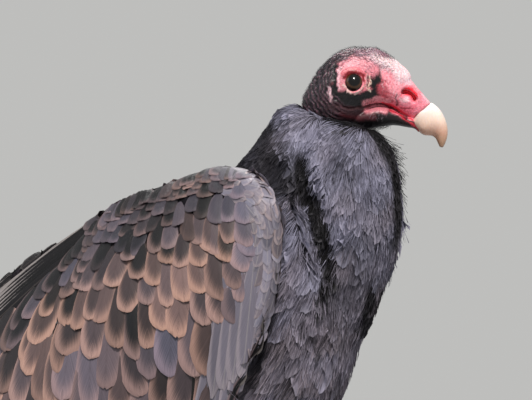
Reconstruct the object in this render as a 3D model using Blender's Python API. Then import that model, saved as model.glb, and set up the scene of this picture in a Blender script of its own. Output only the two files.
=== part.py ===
"""Turkey vulture, standing and life-size, as a still museum model.

The bird faces +X with its head turned to its own left. Tables are in millimetres: x runs forward
from the point under the eyes, z is the height above the floor, and y is positive to the bird's left.
"""

import math

import bmesh
import bpy
import numpy as np
from mathutils import Matrix, Vector

MM = 0.001
GAP = 0.35  # clearance between neighbouring solids
WING_GAP = 0.8  # clearance around the wings, which slope steeply at the bend
SHARPEST = 2.0  # most that a cutter grows at a sharp corner, as a multiple of the clearance

# Driving dimensions of the bird
EYE_HEIGHT = 430.0  # above the floor
HEAD_TURN = math.radians(20)  # to the bird's left
NAPE_X = -34.0  # the head turns about the nape
EYE_RADIUS = 7.6
EYE_OFFSET = 13.1  # centre of the eyeball from the head's mid-plane
LEG_SPREAD = 37.0  # each foot from the mid-plane
FLOOR_FLAT = 0.7  # how much of each toe's pad the floor trims off

# Head in profile, about the point between the eyes: x, top, widest height, bottom, half-width
HEAD_STATIONS = (
    (-35.0, -10.0, -15.0, -21.0, 5.0),
    (-31.0, -3.0, -13.0, -29.0, 13.0),
    (-24.0, 8.5, -8.0, -34.0, 18.0),
    (-14.0, 19.3, -3.0, -36.0, 19.6),
    (-4.0, 24.5, 0.0, -35.0, 19.0),
    (5.0, 25.2, 1.0, -26.0, 17.4),
    (12.0, 24.0, 1.5, -17.5, 15.6),
    (20.0, 20.4, 1.0, -15.5, 13.4),
    (28.0, 15.2, -2.0, -17.5, 11.2),
    (36.0, 8.6, -6.0, -22.5, 9.6),
    (44.0, -1.7, -12.0, -26.5, 8.6),
    (51.0, -10.0, -17.0, -29.0, 7.8),
    (58.0, -17.8, -23.0, -31.0, 6.4),
)
# Lower jaw under the gape line: x, top, widest height, bottom, half-width
JAW_STATIONS = (
    (0.0, -20.0, -26.0, -33.0, 9.0),
    (8.0, -18.6, -24.0, -32.6, 11.0),
    (18.0, -16.2, -22.0, -31.2, 10.8),
    (28.0, -18.0, -23.0, -29.6, 9.2),
    (37.0, -23.4, -27.0, -31.2, 7.2),
    (46.0, -27.6, -31.0, -34.8, 5.6),
    (54.0, -32.4, -34.5, -37.6, 3.6),
)
# Horny hook of the upper bill: top x, top z, bottom x, bottom z, half-width
HOOK_STATIONS = (
    (55.0, -14.0, 41.5, -25.2, 8.0),
    (60.4, -18.4, 48.0, -29.0, 7.5),
    (64.2, -25.4, 54.2, -32.6, 6.3),
    (65.9, -33.0, 58.0, -37.0, 4.7),
    (65.0, -39.6, 59.6, -40.9, 2.9),
    (62.6, -44.6, 61.0, -44.0, 1.0),
)
NOSTRIL = (39.0, -8.8, 6.0, 3.2, math.radians(-32))  # x, z, half-length, half-height, tilt

# Throat and crop lobe: front x, front z, back x, back z, half-width
CROP_STATIONS = (
    (18.0, 399.0, -16.0, 408.0, 16.0),
    (29.0, 388.0, -27.0, 393.0, 24.0),
    (36.0, 370.0, -31.0, 377.0, 31.0),
    (39.0, 345.0, -28.0, 352.0, 36.0),
    (36.5, 318.0, -21.0, 325.0, 37.5),
    (27.0, 291.0, -14.0, 301.0, 34.0),
    (18.5, 268.0, -8.0, 278.0, 26.0),
    (10.0, 248.0, -4.0, 256.0, 13.0),
)
# Hind neck, shoulders, belly and rump: front x, front z, back x, back z, half-width
TRUNK_STATIONS = (
    (-8.0, 400.0, -35.0, 420.0, 17.0),
    (4.0, 374.0, -47.0, 415.0, 30.0),
    (12.0, 346.0, -64.0, 396.0, 42.0),
    (16.0, 315.0, -83.0, 372.0, 56.0),
    (13.0, 281.0, -118.0, 352.0, 68.0),
    (2.0, 234.0, -166.0, 332.0, 75.0),
    (-22.0, 184.0, -208.0, 304.0, 74.0),
    (-66.0, 142.0, -244.0, 262.0, 63.0),
    (-120.0, 119.0, -262.0, 208.0, 46.0),
    (-178.0, 120.0, -256.0, 160.0, 27.0),
)
NECK_CUT = (-40.0, 345.0, math.radians(33))  # a point on the cut across the hind neck, and its slope

# Folded wing as four rails from the bend to the feather tips, each of five stations: x, z, |y|
WING_RAILS = (
    ((-64, 374, 50), (-122, 357, 44), (-190, 329, 28), (-252, 297, 15), (-312, 240, 9)),
    ((-47, 367, 70), (-105, 318, 84), (-184, 262, 79), (-266, 204, 60), (-346, 146, 40)),
    ((-32, 351, 80), (-69, 280, 94), (-142, 205, 94), (-242, 136, 78), (-388, 66, 58)),
    ((-28, 329, 72), (-36, 262, 80), (-90, 168, 80), (-208, 84, 71), (-374, 26, 55)),
)
WING_THICKNESS = 32.0  # at the forearm
WING_GRID = (9, 18)  # faces across and along the wing

# Closed tail, one narrow fan: share of its length, half-width, half-thickness, arch
TAIL_BASE = (-172.0, 176.0)  # x, z of its root
TAIL_LENGTH = 268.0
TAIL_DROP = math.radians(36)
TAIL_STATIONS = (
    (0.0, 24.0, 9.0, 0.0),
    (0.3, 30.0, 6.5, 3.0),
    (0.62, 39.0, 4.4, 5.0),
    (0.85, 46.0, 3.2, 6.0),
    (0.95, 42.0, 2.6, 5.0),
    (1.0, 27.0, 2.0, 2.0),
)

# Legs: knee, ankle and toe joint of one leg as x, z, |y| from the middle of the feet
KNEE = (30.0, 186.0, 36.0)
ANKLE = (-14.0, 66.0, 38.0)
FEET_X = -130.0  # toe joints, under the bird's weight
TOE_JOINT_Z = 8.6
THIGH_RADII = (8.0, 21.0, 27.0, 28.0, 25.0, 20.5, 16.0, 12.5, 9.0)
THIGH_END = 0.93  # share of the way from knee to ankle that the feathers reach
SHANK_RADII = (6.0, 6.6, 6.2, 4.9, 4.7, 5.6, 6.6)
# Toes: name, heading in degrees from +X outwards, length, radius at the base, radius at the claw
TOES = (
    ("inner", -30.0, 36.0, 5.0, 3.7),
    ("middle", 4.0, 60.0, 5.4, 3.9),
    ("outer", 38.0, 42.0, 5.0, 3.7),
    ("hind", 172.0, 21.0, 4.2, 3.3),
)
CLAW_LENGTH = 17.0
CLAW_START, CLAW_END = 30.0, -48.0  # slope of the claw at its root and at its tip, in degrees


def clear_scene():
    for obj in list(bpy.data.objects):
        bpy.data.objects.remove(obj, do_unlink=True)


def collection(name):
    found = bpy.data.collections.new(name)
    bpy.context.scene.collection.children.link(found)
    return found


def material(name, colour, roughness):
    made = bpy.data.materials.new(name)
    made.use_nodes = True
    shader = made.node_tree.nodes["Principled BSDF"]
    shader.inputs["Base Color"].default_value = (*colour, 1.0)
    shader.inputs["Roughness"].default_value = roughness
    return made


def smooth_rows(rows, count):
    """The rows of a table read as one smooth curve, at count even steps."""
    rows = np.array(rows, float)
    padded = np.vstack([2 * rows[0] - rows[1], rows, 2 * rows[-1] - rows[-2]])
    steps = np.linspace(0, len(rows) - 1, count)
    first = np.minimum(steps.astype(int), len(rows) - 2)
    t = (steps - first)[:, None]
    a, b, c, d = (padded[first + i] for i in range(4))
    return 0.5 * (2 * b + (c - a) * t + (2 * a - 5 * b + 4 * c - d) * t**2 + (3 * b - a - 3 * c + d) * t**3)


def new_mesh(name, bm):
    mesh = bpy.data.meshes.new(name)
    bm.to_mesh(mesh)
    bm.free()
    return mesh


def as_cutter(tool):
    """Leaves out of the model an object that only cuts or joins others."""
    tool.hide_render = True
    tool.display_type = "WIRE"
    return tool


def add_object(name, mesh, group, finish=None):
    obj = bpy.data.objects.new(name, mesh)
    group.objects.link(obj)
    if finish:
        mesh.materials.append(finish)
        mesh.shade_smooth()
    return obj


def loft(name, rings, group, finish=None):
    """A closed skin over rings of points (in mm), with a flat cap at each end."""
    bm = bmesh.new()
    loops = [[bm.verts.new(Vector(p) * MM) for p in ring] for ring in rings]
    for one, two in zip(loops, loops[1:]):
        for i in range(len(one)):
            j = (i + 1) % len(one)
            bm.faces.new((one[i], one[j], two[j], two[i]))
    bm.faces.new(loops[0])
    bm.faces.new(list(reversed(loops[-1])))
    bmesh.ops.recalc_face_normals(bm, faces=bm.faces)
    return add_object(name, new_mesh(name, bm), group, finish)


def profile_rings(stations, count, sides):
    """Upright rings from rows of x, top, widest height, bottom and half-width."""
    angles = np.linspace(0, 2 * math.pi, sides, endpoint=False)
    for x, top, wide, bottom, half in smooth_rows(stations, count):
        heights = np.where(np.sin(angles) > 0, top - wide, wide - bottom) * np.sin(angles)
        yield [(x, half * math.cos(a), wide + h) for a, h in zip(angles, heights)]


def slanted_rings(stations, count, sides, squareness=1.0):
    """Rings from rows of front x, front z, back x, back z and half-width."""
    angles = np.linspace(0, 2 * math.pi, sides, endpoint=False)
    for fx, fz, bx, bz, half in smooth_rows(stations, count):
        centre = Vector(((fx + bx) / 2, 0, (fz + bz) / 2))
        reach = Vector(((fx - bx) / 2, 0, (fz - bz) / 2))
        ring = []
        for a in angles:
            side = math.copysign(abs(math.sin(a)) ** squareness, math.sin(a))
            ring.append(centre + reach * math.cos(a) + Vector((0, half * side, 0)))
        yield ring


def tube_rings(points, radii, sides):
    """Round rings along a path of points, square to it."""
    points = [Vector(p) for p in points]
    course = (points[-1] - points[0]).normalized()
    aside = Vector((0, 1, 0)) if abs(course.z) > 0.5 else course.cross(Vector((0, 0, 1)))
    for i, (point, radius) in enumerate(zip(points, radii)):
        along = (points[min(i + 1, len(points) - 1)] - points[max(i - 1, 0)]).normalized()
        over = aside.cross(along).normalized()
        across = along.cross(over)
        ring = []
        for k in range(sides):
            a = 2 * math.pi * k / sides
            ring.append(point + float(radius) * (across * math.cos(a) + over * math.sin(a)))
        yield ring


def solid_mesh(obj):
    """The object's evaluated mesh, in world space, with its doubles merged."""
    bpy.context.view_layer.update()
    graph = bpy.context.evaluated_depsgraph_get()
    mesh = bpy.data.meshes.new_from_object(obj.evaluated_get(graph))
    mesh.transform(obj.matrix_world)
    bm = bmesh.new()
    bm.from_mesh(mesh)
    bmesh.ops.remove_doubles(bm, verts=bm.verts, dist=1e-6)
    bm.to_mesh(mesh)
    bm.free()
    return mesh


def grown(obj, cutters):
    """A cutter: the object's shape pushed out along its normals."""
    mesh = solid_mesh(obj)
    bm = bmesh.new()
    bm.from_mesh(mesh)
    bm.normal_update()
    for vert in bm.verts:
        vert.co += vert.normal * min(vert.calc_shell_factor(), SHARPEST) * GAP * MM
    bm.to_mesh(mesh)
    bm.free()
    return as_cutter(add_object(f"cut_{obj.name}", mesh, cutters))


def combine(obj, tool, operation):
    modifier = obj.modifiers.new(f"{operation.lower()}_{tool.name}", "BOOLEAN")
    modifier.operation = operation
    modifier.object = tool
    modifier.solver = "EXACT"


def bisect(obj, point, normal):
    """Keeps the side of the object that the normal points away from, and closes the cut."""
    bm = bmesh.new()
    bm.from_mesh(obj.data)
    cut = bmesh.ops.bisect_plane(
        bm,
        geom=list(bm.verts) + list(bm.edges) + list(bm.faces),
        plane_co=Vector(point) * MM,
        plane_no=Vector(normal),
        clear_outer=True,
    )
    edges = [e for e in cut["geom_cut"] if isinstance(e, bmesh.types.BMEdge)]
    bmesh.ops.edgeloop_fill(bm, edges=edges)
    bmesh.ops.recalc_face_normals(bm, faces=bm.faces)
    bm.to_mesh(obj.data)
    bm.free()


def head_place():
    """Turns the head about the nape and lifts it to its height."""
    nape = Vector((NAPE_X, 0, 0)) * MM
    turn = Matrix.Translation(nape) @ Matrix.Rotation(HEAD_TURN, 4, "Z") @ Matrix.Translation(-nape)
    return Matrix.Translation((0, 0, EYE_HEIGHT * MM)) @ turn


def make_head(group, cutters, looks):
    head = loft("head", profile_rings(HEAD_STATIONS, 25, 20), group, looks["red skin"])
    top_x, top_z, low_x, low_z, _ = HOOK_STATIONS[0]
    slope = Vector((top_x - low_x, 0, top_z - low_z)).normalized()
    forward = Vector((slope.z, 0, -slope.x))
    seat = Vector((low_x, 0, low_z)) - forward * GAP
    bisect(head, seat, forward)
    jaw = loft("lower_jaw", profile_rings(JAW_STATIONS, 11, 14), group, looks["dark red skin"])
    hook = loft("bill_hook", slanted_rings(HOOK_STATIONS, 10, 14), group, looks["horn"])
    for obj in (head, jaw, hook):
        obj.matrix_world = head_place()
    combine(jaw, grown(head, cutters), "DIFFERENCE")
    combine(jaw, grown(hook, cutters), "DIFFERENCE")
    for side, name in ((-1, "eye_right"), (1, "eye_left")):
        eye = make_eye(name, side, group, looks["eye"])
        combine(head, grown(eye, cutters), "DIFFERENCE")
    combine(head, nostril_cutter(cutters), "DIFFERENCE")
    return head, jaw


def make_eye(name, side, group, finish):
    bm = bmesh.new()
    bmesh.ops.create_uvsphere(bm, u_segments=12, v_segments=8, radius=EYE_RADIUS * MM)
    eye = add_object(name, new_mesh(name, bm), group, finish)
    eye.matrix_world = head_place() @ Matrix.Translation((0, side * EYE_OFFSET * MM, 0))
    return eye


def nostril_cutter(cutters):
    """The opening that runs right through the bill from side to side."""
    x, z, half_length, half_height, tilt = NOSTRIL
    bm = bmesh.new()
    bmesh.ops.create_cone(
        bm, cap_ends=True, segments=12, radius1=half_length * MM, radius2=half_length * MM, depth=40 * MM
    )
    bmesh.ops.scale(bm, vec=(1, half_height / half_length, 1), verts=bm.verts)
    bmesh.ops.rotate(bm, matrix=Matrix.Rotation(math.pi / 2, 3, "X"), verts=bm.verts)
    bmesh.ops.rotate(bm, matrix=Matrix.Rotation(-tilt, 3, "Y"), verts=bm.verts)
    bmesh.ops.translate(bm, vec=Vector((x, 0, z)) * MM, verts=bm.verts)
    tool = as_cutter(add_object("cut_nostril", new_mesh("cut_nostril", bm), cutters))
    tool.matrix_world = head_place()
    return tool


def make_body(group, cutters, looks, head, jaw):
    """The crop lobe, and the trunk parted from the hind neck by a thin slanted cut."""
    crop = loft("neck_front", slanted_rings(CROP_STATIONS, 14, 18, 0.9), group, looks["grey plumage"])
    rings = list(slanted_rings(TRUNK_STATIONS, 19, 22, 0.85))
    trunk = loft("trunk", rings, group, looks["grey plumage"])
    hind_neck = loft("neck_back", rings, group, looks["grey plumage"])
    x, z, slope = NECK_CUT
    down_back = Vector((-math.sin(slope), 0, -math.cos(slope)))
    bisect(hind_neck, Vector((x, 0, z)) - down_back * GAP / 2, down_back)
    bisect(trunk, Vector((x, 0, z)) + down_back * GAP / 2, -down_back)
    for tool in (grown(head, cutters), grown(jaw, cutters)):
        combine(crop, tool, "DIFFERENCE")
        combine(hind_neck, tool, "DIFFERENCE")
    crop_tool = grown(crop, cutters)
    combine(hind_neck, crop_tool, "DIFFERENCE")
    combine(trunk, crop_tool, "DIFFERENCE")
    return trunk, hind_neck


def widened(points, by):
    """A sheet of points with its four edges moved outwards."""
    points = points.copy()
    for rows in (points, points.transpose(1, 0, 2)):
        for edge, inside in ((0, 1), (-1, -2)):
            way = rows[edge] - rows[inside]
            rows[edge] += by * way / np.linalg.norm(way, axis=1, keepdims=True)
    return points


def make_wing(name, side, margin, group, finish=None):
    """A folded wing: the sheet through its rails, extruded inwards. A margin makes it larger all round."""
    across, along = WING_GRID
    rails = [smooth_rows(rail, along + 1) for rail in WING_RAILS]
    points = np.array([smooth_rows([rail[i] for rail in rails], across + 1) for i in range(along + 1)])
    points = points[:, :, [0, 2, 1]] * (1, side, 1)
    points = widened(points, margin) + (0, side * margin, 0)
    bm = bmesh.new()
    bmesh.ops.create_grid(bm, x_segments=across, y_segments=along, size=0.5)
    depth = bm.verts.layers.float.new("depth")
    for vert in bm.verts:
        i, j = round((vert.co.y + 0.5) * along), round((vert.co.x + 0.5) * across)
        vert.co = Vector(points[i, j]) * MM
        vert[depth] = WING_THICKNESS * wing_share(i / along, j / across) + 2 * margin
    inner = bmesh.ops.extrude_face_region(bm, geom=list(bm.faces), use_keep_orig=True)
    for vert in inner["geom"]:
        if isinstance(vert, bmesh.types.BMVert):
            vert.co.y -= side * vert[depth] * MM
    bmesh.ops.recalc_face_normals(bm, faces=bm.faces)
    return add_object(name, new_mesh(name, bm), group, finish)


def wing_share(along, across):
    """The wing's thickness at a point, as a share of the forearm's: full at the bend, thin at the tips."""
    arm = 0.14 + 0.86 * math.exp(-(((along - 0.12) / 0.3) ** 2))
    front = 0.62 + 0.38 * min(along / 0.12, 1)
    sides = 0.34 + 0.66 * min(across / 0.2, (1 - across) / 0.2, 1) ** 0.7
    return arm * front * sides


def make_tail(group, finish):
    """Twelve long feathers closed into one narrow fan, arched like a roof and rounded at its end."""
    base = Vector((TAIL_BASE[0], 0, TAIL_BASE[1]))
    along = Vector((-math.cos(TAIL_DROP), 0, -math.sin(TAIL_DROP)))
    over = Vector((-math.sin(TAIL_DROP), 0, math.cos(TAIL_DROP)))
    rings = []
    for share, half, thick, arch in smooth_rows(TAIL_STATIONS, 12):
        ring = []
        for a in np.linspace(0, 2 * math.pi, 18, endpoint=False):
            across = math.copysign(abs(math.cos(a)) ** 0.8, math.cos(a))
            lift = thick * math.sin(a) - arch * across**2
            ring.append(base + along * TAIL_LENGTH * share + over * lift + Vector((0, half * across, 0)))
        rings.append(ring)
    return loft("tail", rings, group, finish)


def leg_point(spot, side):
    x, z, y = spot
    return Vector((FEET_X + x, side * y, z))


def make_leg(side, name, group, cutters, looks):
    """Feathered thigh, then the bare shank with its foot as one skin, and four claws."""
    knee, ankle = leg_point(KNEE, side), leg_point(ANKLE, side)
    sole = Vector((FEET_X, side * LEG_SPREAD, TOE_JOINT_Z))
    thigh_path = [knee.lerp(ankle, t) for t in np.linspace(-0.12, THIGH_END, len(THIGH_RADII))]
    thigh = loft(f"thigh_{name}", tube_rings(thigh_path, THIGH_RADII, 14), group, looks["grey plumage"])
    foot = make_shank(f"foot_{name}", knee, ankle, sole, group, looks["leg skin"])
    claws = []
    for toe_name, heading, length, thick, thin in TOES:
        angle = math.radians(heading)
        way = Vector((math.cos(angle), side * math.sin(angle), 0))
        toe_end = make_toe(foot, f"{toe_name}_{name}", sole, way, length, thick, thin, cutters)
        claws.append(make_claw(f"claw_{toe_name}_{name}", toe_end, way, thin, group, looks["claw"]))
    floor = floor_cutter(f"floor_{name}", sole, cutters)
    combine(foot, floor, "DIFFERENCE")
    for claw in claws:
        combine(foot, grown(claw, cutters), "DIFFERENCE")
        combine(claw, floor, "DIFFERENCE")
    return thigh


def make_shank(name, knee, ankle, sole, group, finish):
    """The bare leg from just below the feathers, over the heel, down to the toes."""
    start = knee.lerp(ankle, THIGH_END) + (ankle - knee).normalized() * GAP
    path = [start, start.lerp(ankle, 0.4)]
    path += [ankle.lerp(sole, t) for t in (0.12, 0.34, 0.6, 0.82, 1)]
    return loft(name, tube_rings(path, SHANK_RADII, 10), group, finish)


def make_toe(foot, name, sole, way, length, thick, thin, cutters):
    """Joins one toe to the foot: pads swell between its joints. Returns the toe's end."""
    points, radii = [], []
    for t in np.linspace(0, 1, 6):
        radius = thick + (thin - thick) * t + 0.45 * math.sin(t * 3 * math.pi) ** 2
        rise = 2.2 * math.sin(math.pi * min(t * 1.3, 1)) * (1 - t)
        height = sole.z + (thin - FLOOR_FLAT - sole.z) * min(t / 0.3, 1) + rise
        points.append(Vector((sole.x, sole.y, height)) + way * length * t)
        radii.append(radius)
    toe = loft(f"toe_{name}", tube_rings(points, radii, 7), cutters)
    combine(foot, as_cutter(toe), "UNION")
    return points[-1]


def make_claw(name, start, way, radius, group, finish):
    """A blunt, slightly hooked claw that comes down to the floor at its tip."""
    count = 6
    step = CLAW_LENGTH / count
    point = start - way * 1.5
    points, radii = [point], [radius * 0.86]
    for i in range(1, count + 1):
        slope = math.radians(CLAW_START + (CLAW_END - CLAW_START) * (i - 0.5) / count)
        point = point + step * (way * math.cos(slope) + Vector((0, 0, math.sin(slope))))
        points.append(point)
        radii.append(radius * 0.8 * (1 - i / count) ** 0.75 + 0.45)
    return loft(name, tube_rings(points, radii, 7), group, finish)


def floor_cutter(name, sole, cutters):
    """A slab whose top is the floor: it trims the pads to small flats at one level."""
    bm = bmesh.new()
    bmesh.ops.create_cube(bm, size=1.0)
    bmesh.ops.scale(bm, vec=(0.3, 0.2, 0.02), verts=bm.verts)
    bmesh.ops.translate(bm, vec=(sole.x * MM, sole.y * MM, -0.01), verts=bm.verts)
    return as_cutter(add_object(name, new_mesh(name, bm), cutters))


def centre_on_origin(group, cutters):
    """Moves the whole bird so that the middle of its box stands over the origin."""
    bpy.context.view_layer.update()
    graph = bpy.context.evaluated_depsgraph_get()
    corners = []
    for obj in group.objects:
        solid = obj.evaluated_get(graph)
        corners += [solid.matrix_world @ Vector(c) for c in solid.bound_box]
    low, high = np.min(corners, axis=0), np.max(corners, axis=0)
    shift = Vector((-(low[0] + high[0]) / 2, -(low[1] + high[1]) / 2, 0))
    for obj in list(group.objects) + list(cutters.objects):
        obj.location += shift


def main():
    clear_scene()
    group = collection("turkey_vulture")
    cutters = collection("cutters")
    looks = {
        "red skin": material("red_skin", (0.72, 0.16, 0.18), 0.5),
        "dark red skin": material("dark_red_skin", (0.2, 0.05, 0.06), 0.55),
        "horn": material("ivory_horn", (0.85, 0.76, 0.62), 0.35),
        "eye": material("brown_eye", (0.05, 0.03, 0.02), 0.08),
        "grey plumage": material("grey_plumage", (0.09, 0.085, 0.1), 0.75),
        "brown plumage": material("brown_plumage", (0.16, 0.11, 0.1), 0.75),
        "leg skin": material("leg_skin", (0.55, 0.4, 0.36), 0.6),
        "claw": material("dark_claw", (0.04, 0.035, 0.035), 0.4),
    }
    head, jaw = make_head(group, cutters, looks)
    trunk, hind_neck = make_body(group, cutters, looks, head, jaw)
    sides = (("right", -1), ("left", 1))
    for name, side in sides:
        make_wing(f"wing_{name}", side, 0.0, group, looks["brown plumage"])
    tail = make_tail(group, looks["brown plumage"])
    thighs = [make_leg(side, name, group, cutters, looks) for name, side in sides]
    for name, side in sides:
        room = as_cutter(make_wing(f"cut_wing_{name}", side, WING_GAP, cutters))
        combine(trunk, room, "DIFFERENCE")
        combine(hind_neck, room, "DIFFERENCE")
    combine(trunk, grown(tail, cutters), "DIFFERENCE")
    for thigh in thighs:
        combine(thigh, grown(trunk, cutters), "DIFFERENCE")
    centre_on_origin(group, cutters)


main()
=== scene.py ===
# %% [markdown]
# # Turkey vulture, standing, as a life-size museum model
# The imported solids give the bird's shape and size. This lesson dresses them: bare wrinkled skin on
# the head and feet, wet eyes, a horn bill and claws, and a coat of separate feathers laid over a
# skin that lies a coat's depth inside the solids. Distances in tables are millimetres.

import math

import bmesh
import bpy
import numpy as np
from mathutils import Matrix, Vector
from mathutils.bvhtree import BVHTree


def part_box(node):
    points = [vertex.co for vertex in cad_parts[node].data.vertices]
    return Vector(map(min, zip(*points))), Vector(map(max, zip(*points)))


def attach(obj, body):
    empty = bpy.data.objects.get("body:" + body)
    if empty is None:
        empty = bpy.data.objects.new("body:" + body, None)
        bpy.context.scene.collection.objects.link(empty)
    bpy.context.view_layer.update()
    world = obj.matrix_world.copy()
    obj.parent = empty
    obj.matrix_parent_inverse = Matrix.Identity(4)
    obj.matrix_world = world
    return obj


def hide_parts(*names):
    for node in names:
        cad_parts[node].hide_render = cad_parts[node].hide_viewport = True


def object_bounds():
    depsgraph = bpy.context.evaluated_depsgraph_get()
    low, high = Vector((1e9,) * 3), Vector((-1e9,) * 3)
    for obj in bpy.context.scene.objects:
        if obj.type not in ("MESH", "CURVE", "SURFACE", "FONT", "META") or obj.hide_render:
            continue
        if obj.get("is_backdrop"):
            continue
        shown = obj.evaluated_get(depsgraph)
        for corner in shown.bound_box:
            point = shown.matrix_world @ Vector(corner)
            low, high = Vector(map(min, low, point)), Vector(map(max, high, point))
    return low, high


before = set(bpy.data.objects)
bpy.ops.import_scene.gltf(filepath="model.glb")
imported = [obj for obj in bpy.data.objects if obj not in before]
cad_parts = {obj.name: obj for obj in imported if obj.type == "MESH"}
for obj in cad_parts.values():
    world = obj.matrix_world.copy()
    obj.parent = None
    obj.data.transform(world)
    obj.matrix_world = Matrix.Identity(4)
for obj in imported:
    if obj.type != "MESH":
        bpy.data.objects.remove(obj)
CAD_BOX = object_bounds()
MM = 0.001
print("the bird stands", round((CAD_BOX[1] - CAD_BOX[0]).z / MM), "mm tall")

# %% [markdown]
# ## Helpers
# Every material is made of shader nodes, so one small function adds a node with its settings and
# its links. Colours are written as sRGB hex, the way a colour picker shows them, and Blender wants
# them linear, so one function converts them.

# %% Helpers for materials


def linear(code):
    """Linear RGBA of an sRGB hex colour such as 7b6b6b."""
    parts = [int(code[i:i + 2], 16) / 255 for i in (0, 2, 4)]
    return (*(c / 12.92 if c <= 0.04045 else ((c + 0.055) / 1.055) ** 2.4 for c in parts), 1.0)


def add(tree, kind, settings=None, out=0, **inputs):
    """Adds a shader node of that kind and returns one of its outputs. Settings are the node's own, and
    stops fill a colour ramp. An input, by name or as i0, i1 and so on, is a value or a socket to link."""
    node = tree.nodes.new("ShaderNode" + kind)
    for key, value in (settings or {}).items():
        if key == "stops":
            for _ in value[2:]:
                node.color_ramp.elements.new(0.5)
            for element, (place, code) in zip(node.color_ramp.elements, value):
                element.position, element.color = place, linear(code)
        else:
            setattr(node, key, value)
    for key, value in inputs.items():
        socket = node.inputs[int(key[1:]) if key[1:].isdigit() else key.replace("_", " ")]
        if isinstance(value, bpy.types.NodeSocket):
            tree.links.new(value, socket)
        else:
            socket.default_value = value
    return node.outputs[out]


def new_material(name, **inputs):
    """A Principled material, with constant values set on the shader's own sockets."""
    material = bpy.data.materials.new(name)
    material.use_nodes = True
    shader = material.node_tree.nodes["Principled BSDF"]
    for key, value in inputs.items():
        shader.inputs[key.replace("_", " ")].default_value = value
    return material, material.node_tree, shader


def connect(shader, colour, bumped):
    """Links a colour and a bumped normal to the shader."""
    links = shader.id_data.links
    links.new(colour, shader.inputs["Base Color"])
    links.new(bumped, shader.inputs["Normal"])


MIX = {"data_type": "RGBA"}
MULTIPLY = {"data_type": "RGBA", "blend_type": "MULTIPLY"}


def centre(node):
    """The middle of a solid's box."""
    low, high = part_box(node)
    return (low + high) / 2


# %% [markdown]
# ## The head's own frame
# The head is turned to the bird's left, so its features are easiest to place in a frame of its own:
# x forward along the bill, y to its left, z up, from the point between the eyes. The eyes' solids
# give that frame.

# %% Place the head's frame
EYES = (centre("eye_right") + centre("eye_left")) / 2
HEAD_LEFT = (centre("eye_left") - centre("eye_right")).normalized()
HEAD_FORWARD = HEAD_LEFT.cross(Vector((0, 0, 1)))
HEAD = Matrix.Translation(EYES) @ Matrix((HEAD_FORWARD, HEAD_LEFT, (0, 0, 1))).transposed().to_4x4()
EYE_RADIUS = (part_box("eye_left")[1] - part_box("eye_left")[0]).z / 2
EYE_OFFSET = (centre("eye_left") - centre("eye_right")).length / 2
print("eyes at", [round(c / MM) for c in EYES], "mm, radius", round(EYE_RADIUS / MM, 1), "mm")

# %% [markdown]
# ## Camera, floor and light
# A long lens from the side keeps the proportions true, as in a field portrait. Light is soft: a broad
# key from above the bill, a faint fill and a rim. All three are sun lamps, which light the floor
# evenly, so that the floor can match the pale sky behind it.

# %% Camera
CAMERA_DISTANCE = 4.0
CAMERA_TURN = math.atan2(HEAD_FORWARD.y, HEAD_FORWARD.x)  # square to the head's side
VIEW_WIDTH = 372.4 * MM  # what the view spans at the head
AIM_BACK, AIM_DOWN = 60.9 * MM, 81.9 * MM  # from the eyes to the middle of the view

camera = bpy.data.objects.new("camera", bpy.data.cameras.new("camera"))
bpy.context.scene.collection.objects.link(camera)
side_on = Vector((math.cos(CAMERA_TURN), math.sin(CAMERA_TURN), 0))
camera.location = EYES - side_on * AIM_BACK - Vector((0, 0, AIM_DOWN))
camera.location += Vector((side_on.y, -side_on.x, 0)) * CAMERA_DISTANCE
camera.rotation_euler = (math.pi / 2, 0, CAMERA_TURN)
camera.data.lens = camera.data.sensor_width * CAMERA_DISTANCE / VIEW_WIDTH
bpy.context.scene.camera = camera
bpy.context.scene.view_settings.view_transform = "Standard"

# %% Floor, sky and lights


def make_floor():
    """A pale matt floor, as of painted board."""
    bm = bmesh.new()
    bmesh.ops.create_circle(bm, cap_ends=True, segments=96, radius=4.0)
    mesh = bpy.data.meshes.new("floor")
    bm.to_mesh(mesh)
    bm.free()
    floor = bpy.data.objects.new("floor", mesh)
    bpy.context.scene.collection.objects.link(floor)
    material, _, _ = new_material("painted_board", Base_Color=linear("94979a"), Roughness=1.0)
    mesh.materials.append(material)
    floor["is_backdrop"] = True


def make_light(name, azimuth, elevation, strength, angle, code):
    """A sun lamp from that azimuth and height, as wide as its angle in degrees, so its shadows are soft."""
    turn, rise = math.radians(azimuth), math.radians(elevation)
    lamp = bpy.data.lights.new(name, "SUN")
    lamp.energy = strength
    lamp.angle = math.radians(angle)
    lamp.color = linear(code)[:3]
    spot = bpy.data.objects.new(name, lamp)
    away = Vector((math.sin(turn) * math.cos(rise), -math.cos(turn) * math.cos(rise), math.sin(rise)))
    spot.location = (CAD_BOX[0] + CAD_BOX[1]) / 2 + away
    spot.rotation_mode = "QUATERNION"
    spot.rotation_quaternion = away.to_track_quat("Z", "Y")
    bpy.context.scene.collection.objects.link(spot)


make_floor()
make_light("key", 30, 52, 3.5, 9, "fffaf4")
make_light("fill", -60, 25, 0.45, 40, "e2ecff")
make_light("back_rim", 205, 45, 1.1, 20, "ffffff")
world = bpy.data.worlds.new("sky")
bpy.context.scene.world = world
world.use_nodes = True
world.node_tree.nodes["Background"].inputs["Color"].default_value = linear("dcdcda")
world.node_tree.nodes["Background"].inputs["Strength"].default_value = 0.72
print("camera, floor and three lights are in place")

# %% [markdown]
# ## Meshes in and out of arrays
# Sculpting and feather laying move many points by a formula, which is quick when a mesh's points
# are read into an array and written back.

# %% Array helpers


def points_of(mesh):
    """The mesh's points as an array of rows."""
    co = np.empty(len(mesh.vertices) * 3)
    mesh.vertices.foreach_get("co", co)
    return co.reshape(-1, 3)


def normals_of(mesh):
    """The mesh's point normals as an array of rows."""
    out = np.empty(len(mesh.vertices) * 3)
    mesh.vertices.foreach_get("normal", out)
    return out.reshape(-1, 3)


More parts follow.
